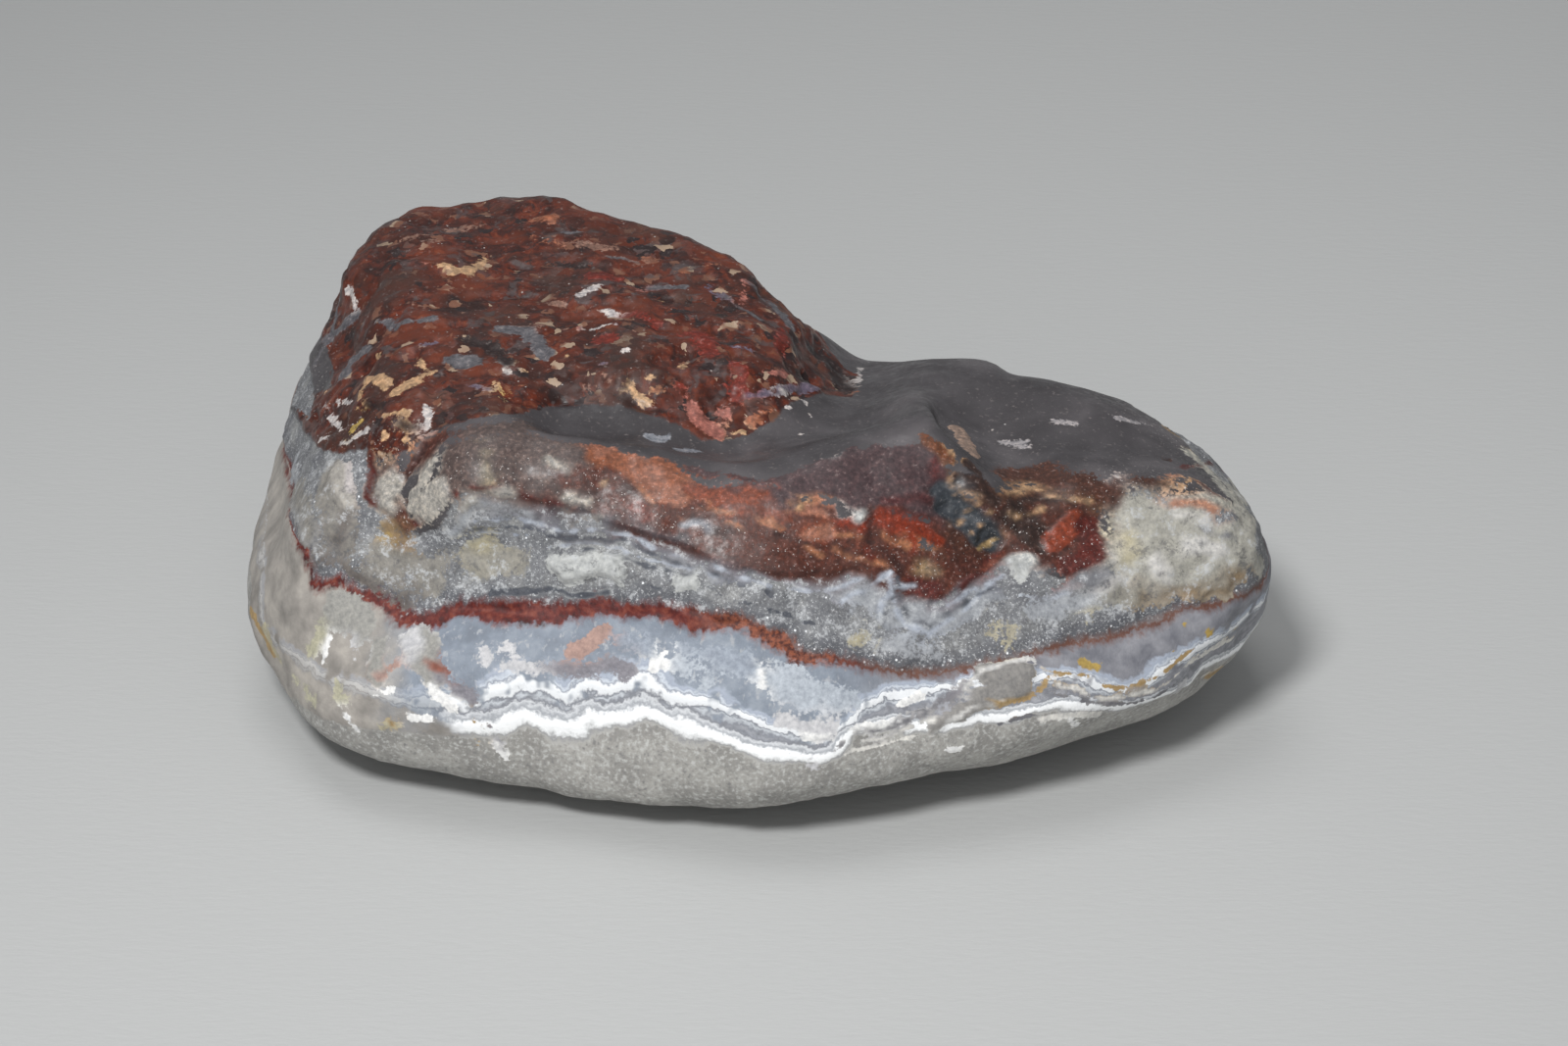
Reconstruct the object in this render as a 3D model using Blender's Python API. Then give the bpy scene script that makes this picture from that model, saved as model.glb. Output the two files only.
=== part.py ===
"""A tumbled chalcedony pebble with a jasper hump, a hollowed top and a layered front.

One solid, in metres, +Z up, lying on the small worn flat of its underside.
The form is worked out in millimetres round an inner point: worn faces meet in rounded edges,
lumps are blended on, hollows are blended out, and the result is eased to the stone's outline.
"""
import math

import bpy
import numpy as np

# The finished length in metres; every other size follows from it
LENGTH = 0.0371

# Each edge of the icosahedron that the mesh starts from is split this often
SPLITS = 21

# The inner point that every part of the surface is seen from, and the rough half sizes, in mm
HEART = (-1.0, 0.8, 6.0)
ROUGH_HALF_SIZE = (18.0, 13.5, 7.5)

# Worn faces as (name, azimuth, elevation, distance from the heart in mm); azimuth 0 is +X
EDGE = 0.5
SIDES = (
    ("front left", 250.0, 31.0, 10.35),
    ("front left belly", 255.0, -6.0, 13.2),
    ("front left underside", 250.0, -50.0, 13.5),
    ("front right", 287.0, 30.0, 10.7),
    ("front undercut", 285.0, -40.0, 12.6),
    ("right undercut", 305.0, -36.0, 13.4),
    ("left front corner", 215.0, 2.0, 16.9),
    ("left front underside", 215.0, -45.0, 16.0),
    ("left", 183.0, 20.0, 16.7),
    ("left shoulder", 184.0, 46.0, 13.7),
    ("left underside", 190.0, -35.0, 16.9),
    ("right tip", 335.0, 2.0, 20.2),
    ("right back tip", 20.0, 15.0, 17.1),
    ("right shoulder", 20.0, 50.0, 12.4),
    ("right underside", 335.0, -42.0, 17.9),
    ("back right", 62.0, 18.0, 10.4),
    ("back right underside", 65.0, -30.0, 10.6),
    ("back left", 97.0, 12.0, 15.4),
    ("back left bevel", 95.0, 54.0, 13.9),
    ("back underside", 100.0, -45.0, 13.2),
    ("left back corner", 143.0, 24.0, 18.0),
    ("left back underside", 150.0, -40.0, 15.0),
)
TOP = (
    ("top", 0.0, 85.0, 5.75),
    ("top right", 60.0, 74.0, 6.0),
    ("lobe back", 62.0, 30.0, 9.3),
    ("lip bevel", 266.0, 47.0, 9.6),
)

# The nose, a ridge at the front right of the top that ends in a steep flank
NOSE = (
    ("nose back", 138.0, 72.5, 3.8),
    ("nose front", 277.0, 57.0, 9.2),
    ("nose flank", 26.0, 28.5, 7.15),
)
NOSE_EDGE = 0.25

# The jasper hump at the back left, whose own worn faces rise above the top
HUMP = (
    ("hump top", 120.0, 86.0, 6.5),
    ("hump front", 300.0, 74.0, 6.4),
    ("hump back right", 55.0, 32.0, 9.5),
    ("hump right flank", 12.0, 38.0, 6.9),
    ("hump front side", 250.0, 20.0, 9.0),
)
TOP_BLEND = 0.4

# The bowed underside, as the lowest part of a wide ellipsoid
BOWL_CENTRE = (-2.0, 2.2, 7.0)
BOWL_SIZE = (29.0, 23.0, 7.15)

# Lumps as (name, centre, radii), all in mm
LUMP_BLEND = 0.45
LUMPS = (
    ("dome", (-10.0, -4.9, 10.5), (2.6, 2.2, 2.2)),
    ("small dome", (-6.9, -5.3, 10.9), (1.5, 1.3, 1.3)),
    ("lobe crown", (11.6, 1.4, 6.7), (5.6, 4.8, 4.1)),
    ("band swell", (-5.0, -8.4, 4.0), (8.5, 2.0, 2.6)),
    ("flake", (7.8, -8.9, 4.6), (2.3, 1.0, 1.3)),
    ("prow foot", (1.8, -10.2, 3.6), (2.6, 1.8, 2.6)),
)

# Hollows as (name, start, end, start radius, end radius), all in mm
HOLLOW_BLEND = 0.25
HOLLOWS = (
    ("basin left", (-6.8, -2.9, 14.0), (-1.2, -3.2, 14.3), 2.4, 3.2),
    ("basin middle", (-1.2, -3.2, 14.3), (3.0, -1.2, 13.9), 3.2, 2.9),
    ("basin to notch", (3.0, -1.2, 13.9), (5.0, 9.5, 11.1), 2.9, 2.3),
    ("flank valley", (9.2, -1.5, 12.2), (10.4, -8.8, 11.4), 1.6, 1.5),
    ("crater", (6.9, -8.0, 10.9), (8.4, -8.3, 9.7), 1.3, 1.5),
    ("brown pocket", (9.2, -7.9, 10.1), (12.3, -6.8, 9.9), 1.5, 1.3),
    ("leaf hollow", (-13.2, -7.2, 11.9), (-12.6, -4.6, 13.4), 1.4, 1.3),
    ("jasper dent", (-9.0, 3.0, 15.4), (-4.0, 5.5, 15.2), 2.6, 2.2),
    ("left chip", (-19.2, 1.0, 9.8), (-17.2, 7.8, 12.7), 1.8, 1.5),
    ("back chip", (-2.5, 17.0, 6.8), (3.0, 13.8, 5.2), 3.1, 2.6),
    ("underside dish", (6.0, 6.5, -2.6), (11.0, 1.0, -2.2), 3.2, 2.8),
)

# The seam round the stone, a shallow groove, as (azimuth, height in mm)
SEAM_HEIGHTS = (
    (0.0, 7.4), (60.0, 6.6), (120.0, 6.2), (180.0, 6.3), (201.0, 6.6), (225.0, 7.0), (242.0, 7.5),
    (272.0, 7.3), (289.0, 6.1), (303.0, 5.8), (323.0, 6.0), (336.0, 6.2), (345.0, 7.0),
)
SEAM_DEPTH = 0.22
SEAM_WIDTH = 0.75

# The camera that the outline is given for: 30 degrees above the front
VIEW_ELEVATION = 30.0
VIEW_DISTANCE = 266.0
VIEW_TARGET = (0.79, -7.74, 10.5)
VIEW_WIDTH_PX = 1600.0
VIEW_HEIGHT_PX = 1067.0
VIEW_MM_PER_PX = 0.0345
OUTLINE_PX = (
    (290, 440), (302, 392), (320, 356), (341, 326), (344, 296), (356, 272), (374, 248),
    (389, 227), (410, 216), (455, 212), (500, 204), (545, 197), (575, 200), (605, 216),
    (650, 228), (700, 243), (742, 263), (768, 279), (784, 299), (807, 321), (829, 336),
    (852, 352), (871, 366), (897, 371), (939, 368), (985, 366), (1030, 372), (1084, 393),
    (1135, 402), (1180, 426), (1225, 456), (1264, 492), (1285, 522), (1299, 571), (1295, 598),
    (1280, 646), (1263, 675), (1234, 705), (1207, 724), (1176, 736), (1138, 747), (1100, 756),
    (960, 787), (889, 802), (838, 813), (787, 821), (701, 822), (640, 818), (540, 802),
    (444, 788), (382, 777), (355, 767), (330, 754), (307, 733), (291, 708), (275, 676),
    (257, 647), (252, 622), (255, 570), (261, 536), (274, 499),
)
OUTLINE_BINS = 240
OUTLINE_SPLITS = 60
OUTLINE_SMOOTHING = 2

# Low swells of the worn surface as (size, height, seed), sizes and heights in mm
SWELLS = ((5.5, 0.22, 11), (2.4, 0.11, 23), (1.3, 0.05, 37))

# How much of the lowest point is worn off flat, in mm
REST_WEAR = 0.2

STONE_COLOUR = (0.42, 0.40, 0.41, 1.0)
STONE_ROUGHNESS = 0.38


def clear_scene():
    """Remove every object that is already there."""
    for old in list(bpy.data.objects):
        bpy.data.objects.remove(old, do_unlink=True)


def geodesic_sphere(splits):
    """Unit directions and triangles of an icosahedron with each edge split into equal parts."""
    gold = (1.0 + math.sqrt(5.0)) / 2.0
    corners = []
    for short in (-1.0, 1.0):
        for long in (-gold, gold):
            corners += [(short, long, 0.0), (0.0, short, long), (long, 0.0, short)]
    corners = np.array(corners)
    gaps = np.linalg.norm(corners[:, None] - corners[None], axis=2)
    near = np.abs(gaps - 2.0) < 1e-6
    faces = []
    for a in range(12):
        for b in range(a + 1, 12):
            for c in range(b + 1, 12):
                if near[a, b] and near[b, c] and near[a, c]:
                    outward = np.dot(np.cross(corners[b] - corners[a], corners[c] - corners[a]), corners[a])
                    faces.append((a, b, c) if outward > 0.0 else (a, c, b))
    rows, columns = np.meshgrid(np.arange(splits + 1), np.arange(splits + 1), indexing="ij")
    kept = rows + columns <= splits
    number = np.full(kept.shape, -1)
    number[kept] = np.arange(kept.sum())
    i, j = rows[kept], columns[kept]
    up = (i + j) < splits
    down = (i + j) < splits - 1
    small = [np.stack([number[i[up], j[up]], number[i[up] + 1, j[up]], number[i[up], j[up] + 1]], 1)]
    small.append(np.stack([number[i[down] + 1, j[down]], number[i[down] + 1, j[down] + 1],
                           number[i[down], j[down] + 1]], 1))
    small = np.concatenate(small)
    points, triangles = [], []
    for a, b, c in faces:
        share_b, share_c = i[:, None] / splits, j[:, None] / splits
        triangles.append(small + len(points) * kept.sum())
        points.append(corners[a] * (1.0 - share_b - share_c) + corners[b] * share_b + corners[c] * share_c)
    points = np.concatenate(points)
    triangles = np.concatenate(triangles)
    _, first, same = np.unique(np.round(points, 6), axis=0, return_index=True, return_inverse=True)
    points = points[first]
    triangles = same.reshape(-1)[triangles]
    return points / np.linalg.norm(points, axis=1, keepdims=True), triangles


def normal_of(azimuth, elevation):
    """The unit vector that points at this azimuth and elevation, given in degrees."""
    a, e = math.radians(azimuth), math.radians(elevation)
    return np.array((math.cos(e) * math.cos(a), math.cos(e) * math.sin(a), math.sin(e)))


def blend_max(values, width):
    """The largest of the values, with the corners between them rounded off."""
    top = np.maximum.reduce(values)
    return top + width * np.log(sum(np.exp((value - top) / width) for value in values))


def blend_min(values, width):
    """The smallest of the values, with the corners between them filled."""
    return -blend_max([-value for value in values], width)


def worn_faces(points, faces, width):
    """Signed distance to the solid that these worn faces enclose."""
    offsets = points - np.array(HEART)
    return blend_max([offsets @ normal_of(azimuth, elevation) - distance
                      for _, azimuth, elevation, distance in faces], width)


def ellipsoid(points, centre, radii):
    """Roughly the signed distance to an ellipsoid."""
    scaled = np.linalg.norm((points - np.array(centre)) / np.array(radii), axis=1)
    return (scaled - 1.0) * min(radii)


def tapered_groove(points, start, end, start_radius, end_radius):
    """Signed distance to a round-ended groove cutter between two points."""
    start, end = np.array(start), np.array(end)
    run = end - start
    share = np.clip((points - start) @ run / (run @ run), 0.0, 1.0)
    radius = start_radius + (end_radius - start_radius) * share
    return np.linalg.norm(points - start - share[:, None] * run, axis=1) - radius


def stone_field(points):
    """Below zero inside the stone, above zero outside it."""
    groups = ((TOP, EDGE), (HUMP, EDGE), (NOSE, NOSE_EDGE))
    top = blend_min([worn_faces(points, faces, width) for faces, width in groups], TOP_BLEND)
    form = blend_max([worn_faces(points, SIDES, EDGE), top], EDGE)
    lumps = [ellipsoid(points, centre, radii) for _, centre, radii in LUMPS]
    form = blend_min([form] + lumps, LUMP_BLEND)
    for _, start, end, start_radius, end_radius in HOLLOWS:
        cutter = tapered_groove(points, start, end, start_radius, end_radius)
        form = blend_max([form, -cutter], HOLLOW_BLEND)
    bowl = ellipsoid(points, BOWL_CENTRE, BOWL_SIZE)
    below = points[:, 2] < BOWL_CENTRE[2]
    return np.where(below, blend_max([form, bowl], EDGE), form)


def lattice_noise(points, size, seed):
    """Smooth noise between -1 and 1 whose swells are about this size."""
    scaled = points / size
    cell = np.floor(scaled).astype(np.int64)
    part = scaled - cell
    ease = part * part * part * (part * (part * 6.0 - 15.0) + 10.0)
    total = np.zeros(len(points))
    for corner in np.ndindex(2, 2, 2):
        at = cell + np.array(corner)
        code = at[:, 0] * 374761393 + at[:, 1] * 668265263 + at[:, 2] * 2147483647 + seed * 1274126177
        code = (code ^ (code >> 13)) * 1103515245 & 0x7FFFFFFF
        value = ((code ^ (code >> 16)) % 20011) / 10005.0 - 1.0
        share = np.prod(np.where(np.array(corner) == 1, ease, 1.0 - ease), axis=1)
        total += value * share
    return total


def seam_groove(surface):
    """The depth of the groove along the seam at these points."""
    azimuth = np.degrees(np.arctan2(surface[:, 1] - HEART[1], surface[:, 0] - HEART[0])) % 360.0
    heights = np.array(SEAM_HEIGHTS)
    off = surface[:, 2] - np.interp(azimuth, heights[:, 0], heights[:, 1], period=360.0)
    return SEAM_DEPTH * np.exp(-(off / SEAM_WIDTH) ** 2)


def raw_surface(directions):
    """The stone's surface along these directions from its heart, before the outline eases it."""
    rays = directions * np.array(ROUGH_HALF_SIZE)
    rays /= np.linalg.norm(rays, axis=1, keepdims=True)
    heart = np.array(HEART)
    inner = np.full(len(rays), 1.0)
    outer = np.full(len(rays), 30.0)
    for _ in range(26):
        middle = 0.5 * (inner + outer)
        outside = stone_field(heart + rays * middle[:, None]) > 0.0
        outer = np.where(outside, middle, outer)
        inner = np.where(outside, inner, middle)
    surface = heart + rays * inner[:, None]
    surface -= rays * seam_groove(surface)[:, None]
    for size, height, seed in SWELLS:
        surface += rays * (height * lattice_noise(surface, size, seed))[:, None]
    return surface


def seen_from_camera(points):
    """Pixel offsets of the points from the heart, right and up, and millimetres per pixel there."""
    tilt = math.radians(VIEW_ELEVATION)
    back = np.array((0.0, -math.cos(tilt), math.sin(tilt)))
    up = np.array((0.0, math.sin(tilt), math.cos(tilt)))
    camera = np.array(VIEW_TARGET) + back * VIEW_DISTANCE
    depth = (camera - points) @ back
    scale = VIEW_MM_PER_PX * depth / VIEW_DISTANCE
    across = VIEW_WIDTH_PX / 2.0 + (points - camera)[:, 0] / scale
    down = VIEW_HEIGHT_PX / 2.0 - (points - camera) @ up / scale
    return across, down, scale, up


def ring_average(values, reach):
    """A running mean along a closed ring."""
    return sum(np.roll(values, shift) for shift in range(-reach, reach + 1)) / (2 * reach + 1)


def outline_gap():
    """How far the stone's outline lies outside the raw form's, in pixels, at even angles."""
    middle_x, middle_y, _, _ = seen_from_camera(np.array([HEART]))
    directions, _ = geodesic_sphere(OUTLINE_SPLITS)
    x, y, _, _ = seen_from_camera(raw_surface(directions))
    angle = np.arctan2(middle_y - y, x - middle_x) % (2.0 * math.pi)
    radius = np.hypot(x - middle_x, middle_y - y)
    bins = (angle / (2.0 * math.pi) * OUTLINE_BINS).astype(int) % OUTLINE_BINS
    raw = np.zeros(OUTLINE_BINS)
    np.maximum.at(raw, bins, radius)
    corner_x = np.array([point[0] for point in OUTLINE_PX]) - middle_x
    corner_y = middle_y - np.array([point[1] for point in OUTLINE_PX])
    corner_angle = np.arctan2(corner_y, corner_x) % (2.0 * math.pi)
    order = np.argsort(corner_angle)
    even = (np.arange(OUTLINE_BINS) + 0.5) / OUTLINE_BINS * 2.0 * math.pi
    wanted = np.interp(even, corner_angle[order], np.hypot(corner_x, corner_y)[order], period=2.0 * math.pi)
    return ring_average(wanted - raw, OUTLINE_SMOOTHING), ring_average(raw, OUTLINE_SMOOTHING)


def ease_to_outline(surface):
    """Move the surface sideways, most at the rim, until its outline is the stone's."""
    gap, raw = outline_gap()
    middle_x, middle_y, _, _ = seen_from_camera(np.array([HEART]))
    x, y, scale, up = seen_from_camera(surface)
    right, rise = x - middle_x, middle_y - y
    radius = np.hypot(right, rise)
    even = (np.arange(OUTLINE_BINS) + 0.5) / OUTLINE_BINS * 2.0 * math.pi
    angle = np.arctan2(rise, right) % (2.0 * math.pi)
    gap_here = np.interp(angle, even, gap, period=2.0 * math.pi)
    raw_here = np.interp(angle, even, raw, period=2.0 * math.pi)
    shift = gap_here * np.clip(radius / raw_here, 0.0, 1.2) ** 2 * scale / np.maximum(radius, 1.0)
    return surface + np.array((1.0, 0.0, 0.0)) * (right * shift)[:, None] + up * (rise * shift)[:, None]


def stone_surface(directions):
    """The finished surface in metres, flat where it rests, its box centred on the origin."""
    surface = ease_to_outline(raw_surface(directions))
    surface[:, 2] -= surface[:, 2].min() + REST_WEAR
    surface[:, 2] = np.maximum(surface[:, 2], 0.0)
    low, high = surface.min(axis=0), surface.max(axis=0)
    surface[:, :2] -= 0.5 * (low + high)[:2]
    return surface * (LENGTH / (high - low)[0])


def stone_material():
    """Grey polished chalcedony."""
    material = bpy.data.materials.new("chalcedony")
    material.use_nodes = True
    shader = material.node_tree.nodes["Principled BSDF"]
    shader.inputs["Base Color"].default_value = STONE_COLOUR
    shader.inputs["Roughness"].default_value = STONE_ROUGHNESS
    shader.inputs["Metallic"].default_value = 0.0
    return material


def chalcedony_stone():
    """The whole pebble as one closed body."""
    directions, triangles = geodesic_sphere(SPLITS)
    mesh = bpy.data.meshes.new("chalcedony_stone")
    mesh.from_pydata(stone_surface(directions).tolist(), [], triangles.tolist())
    mesh.update()
    mesh.shade_smooth()
    mesh.materials.append(stone_material())
    stone = bpy.data.objects.new("chalcedony_stone", mesh)
    bpy.context.scene.collection.objects.link(stone)
    return stone


clear_scene()
chalcedony_stone()
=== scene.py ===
"""Looks of the tumbled chalcedony pebble: its worn skin in fine relief, the jasper hump, the smoky
lobe and hollow, the frosted quartz, the red seam and the white lace, on a plain pale floor.

The skin repeats the form of the solid, with many more points on the side that shows best. Marks are
placed one by one: each has its pixel in the 1600 x 1067 picture, is laid on the skin there, and from
then on belongs to the skin.
"""
import math

import bpy
import numpy as np
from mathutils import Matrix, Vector
from mathutils.bvhtree import BVHTree


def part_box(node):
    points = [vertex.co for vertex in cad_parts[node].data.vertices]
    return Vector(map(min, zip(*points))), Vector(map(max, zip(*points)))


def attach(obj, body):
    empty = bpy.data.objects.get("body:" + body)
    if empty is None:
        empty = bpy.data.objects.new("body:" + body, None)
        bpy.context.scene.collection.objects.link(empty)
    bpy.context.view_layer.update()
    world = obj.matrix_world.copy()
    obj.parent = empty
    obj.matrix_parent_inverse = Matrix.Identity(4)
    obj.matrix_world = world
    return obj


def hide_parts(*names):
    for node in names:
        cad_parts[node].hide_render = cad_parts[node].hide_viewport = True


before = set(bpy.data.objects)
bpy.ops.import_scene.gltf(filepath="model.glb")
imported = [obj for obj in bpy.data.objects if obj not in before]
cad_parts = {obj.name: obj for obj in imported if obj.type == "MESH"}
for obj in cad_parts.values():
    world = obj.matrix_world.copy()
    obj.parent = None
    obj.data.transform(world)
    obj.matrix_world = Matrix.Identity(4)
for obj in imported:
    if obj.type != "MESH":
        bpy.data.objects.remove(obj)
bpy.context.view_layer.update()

NODE = "chalcedony_stone"

# The form of the solid, in mm round an inner point, as the solid has it
HEART = (-1.0, 0.8, 6.0)
ROUGH_HALF_SIZE = (18.0, 13.5, 7.5)

# Worn faces as (name, azimuth, elevation, distance from the heart in mm); azimuth 0 is +X
EDGE = 0.5
SIDES = (
    ("front left", 250.0, 31.0, 10.35),
    ("front left belly", 255.0, -6.0, 13.2),
    ("front left underside", 250.0, -50.0, 13.5),
    ("front right", 287.0, 30.0, 10.7),
    ("front undercut", 285.0, -40.0, 12.6),
    ("right undercut", 305.0, -36.0, 13.4),
    ("left front corner", 215.0, 2.0, 16.9),
    ("left front underside", 215.0, -45.0, 16.0),
    ("left", 183.0, 20.0, 16.7),
    ("left shoulder", 184.0, 46.0, 13.7),
    ("left underside", 190.0, -35.0, 16.9),
    ("right tip", 335.0, 2.0, 20.2),
    ("right back tip", 20.0, 15.0, 17.1),
    ("right shoulder", 20.0, 50.0, 12.4),
    ("right underside", 335.0, -42.0, 17.9),
    ("back right", 62.0, 18.0, 10.4),
    ("back right underside", 65.0, -30.0, 10.6),
    ("back left", 97.0, 12.0, 15.4),
    ("back left bevel", 95.0, 54.0, 13.9),
    ("back underside", 100.0, -45.0, 13.2),
    ("left back corner", 143.0, 24.0, 18.0),
    ("left back underside", 150.0, -40.0, 15.0),
)
TOP = (
    ("top", 0.0, 85.0, 5.75),
    ("top right", 60.0, 74.0, 6.0),
    ("lobe back", 62.0, 30.0, 9.3),
    ("lip bevel", 266.0, 47.0, 9.6),
)

# The nose, a ridge at the front right of the top that ends in a steep flank
NOSE = (
    ("nose back", 138.0, 72.5, 3.8),
    ("nose front", 277.0, 57.0, 9.2),
    ("nose flank", 26.0, 28.5, 7.15),
)
NOSE_EDGE = 0.25

# The jasper hump at the back left, whose own worn faces rise above the top
HUMP = (
    ("hump top", 120.0, 86.0, 6.5),
    ("hump front", 300.0, 74.0, 6.4),
    ("hump back right", 55.0, 32.0, 9.5),
    ("hump right flank", 12.0, 38.0, 6.9),
    ("hump front side", 250.0, 20.0, 9.0),
)
TOP_BLEND = 0.4

# The bowed underside, as the lowest part of a wide ellipsoid
BOWL_CENTRE = (-2.0, 2.2, 7.0)
BOWL_SIZE = (29.0, 23.0, 7.15)

# Lumps as (name, centre, radii), all in mm
LUMP_BLEND = 0.45
LUMPS = (
    ("dome", (-10.0, -4.9, 10.5), (2.6, 2.2, 2.2)),
    ("small dome", (-6.9, -5.3, 10.9), (1.5, 1.3, 1.3)),
    ("lobe crown", (11.6, 1.4, 6.7), (5.6, 4.8, 4.1)),
    ("band swell", (-5.0, -8.4, 4.0), (8.5, 2.0, 2.6)),
    ("flake", (7.8, -8.9, 4.6), (2.3, 1.0, 1.3)),
    ("prow foot", (1.8, -10.2, 3.6), (2.6, 1.8, 2.6)),
)

# Hollows as (name, start, end, start radius, end radius), all in mm
HOLLOW_BLEND = 0.25
HOLLOWS = (
    ("basin left", (-6.8, -2.9, 14.0), (-1.2, -3.2, 14.3), 2.4, 3.2),
    ("basin middle", (-1.2, -3.2, 14.3), (3.0, -1.2, 13.9), 3.2, 2.9),
    ("basin to notch", (3.0, -1.2, 13.9), (5.0, 9.5, 11.1), 2.9, 2.3),
    ("flank valley", (9.2, -1.5, 12.2), (10.4, -8.8, 11.4), 1.6, 1.5),
    ("crater", (6.9, -8.0, 10.9), (8.4, -8.3, 9.7), 1.3, 1.5),
    ("brown pocket", (9.2, -7.9, 10.1), (12.3, -6.8, 9.9), 1.5, 1.3),
    ("leaf hollow", (-13.2, -7.2, 11.9), (-12.6, -4.6, 13.4), 1.4, 1.3),
    ("jasper dent", (-9.0, 3.0, 15.4), (-4.0, 5.5, 15.2), 2.6, 2.2),
    ("left chip", (-19.2, 1.0, 9.8), (-17.2, 7.8, 12.7), 1.8, 1.5),
    ("back chip", (-2.5, 17.0, 6.8), (3.0, 13.8, 5.2), 3.1, 2.6),
    ("underside dish", (6.0, 6.5, -2.6), (11.0, 1.0, -2.2), 3.2, 2.8),
)

# The seam round the stone, a shallow groove, as (azimuth, height in mm)
SEAM_HEIGHTS = (
    (0.0, 7.4), (60.0, 6.6), (120.0, 6.2), (180.0, 6.3), (201.0, 6.6), (225.0, 7.0), (242.0, 7.5),
    (272.0, 7.3), (289.0, 6.1), (303.0, 5.8), (323.0, 6.0), (336.0, 6.2), (345.0, 7.0),
)
SEAM_DEPTH = 0.22
SEAM_WIDTH = 0.75

# The camera that the outline is given for: 30 degrees above the front
VIEW_ELEVATION = 30.0
VIEW_DISTANCE = 266.0
VIEW_TARGET = (0.79, -7.74, 10.5)
VIEW_WIDTH_PX = 1600.0
VIEW_HEIGHT_PX = 1067.0
VIEW_MM_PER_PX = 0.0345
OUTLINE_PX = (
    (290, 440), (302, 392), (320, 356), (341, 326), (344, 296), (356, 272), (374, 248),
    (389, 227), (410, 216), (455, 212), (500, 204), (545, 197), (575, 200), (605, 216),
    (650, 228), (700, 243), (742, 263), (768, 279), (784, 299), (807, 321), (829, 336),
    (852, 352), (871, 366), (897, 371), (939, 368), (985, 366), (1030, 372), (1084, 393),
    (1135, 402), (1180, 426), (1225, 456), (1264, 492), (1285, 522), (1299, 571), (1295, 598),
    (1280, 646), (1263, 675), (1234, 705), (1207, 724), (1176, 736), (1138, 747), (1100, 756),
    (960, 787), (889, 802), (838, 813), (787, 821), (701, 822), (640, 818), (540, 802),
    (444, 788), (382, 777), (355, 767), (330, 754), (307, 733), (291, 708), (275, 676),
    (257, 647), (252, 622), (255, 570), (261, 536), (274, 499),
)
OUTLINE_BINS = 240
OUTLINE_SPLITS = 60
OUTLINE_SMOOTHING = 2

# The camera's sensor width in mm, and its nearest and furthest distance in metres
SENSOR_WIDTH = 36.0
CLIP = (0.01, 10.0)

# A whole turn, and up to which multiple of the rim's radius the easing to the outline still grows
FULL_TURN = 2.0 * math.pi
EASING_LIMIT = 1.2

# Low swells of the worn surface as (size, height, seed), sizes and heights in mm
SWELLS = ((5.5, 0.22, 11), (2.4, 0.11, 23), (1.3, 0.05, 37))

# How much of the lowest point is worn off flat, in mm
REST_WEAR = 0.2

# How many parts each edge of the icosahedron is split into: for the solid, and for the skin
SOLID_SPLITS = 21
SKIN_SPLITS = 98

# The skin's points crowd towards this direction, by this much
CROWD_TOWARDS = (0.0, -0.75, 0.66)
CROWD = 0.45

# Where the surface is looked for along each ray, in mm, and how often that span is halved
SEARCH_FROM = 1.0
SEARCH_TO = 30.0
HALVINGS = 26

# Numbers that spread the corners of the noise's lattice evenly
HASH_AXES = (374761393, 668265263, 2147483647)
HASH_SEED = 1274126177
HASH_STIR = 1103515245
HASH_MASK = 0x7FFFFFFF
HASH_LEVELS = 20011

# How far a sight line that misses moves inwards, and the longest gap between the points of a line,
# both in pixels
MISS_STEP_PX = 2.0
LINE_STEP_PX = 12.0

# How far from a boundary and from a stroke the distances are measured, in mm
RING_REACH = 8.0
STROKE_REACH = 2.0
TINY = 1e-9

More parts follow.
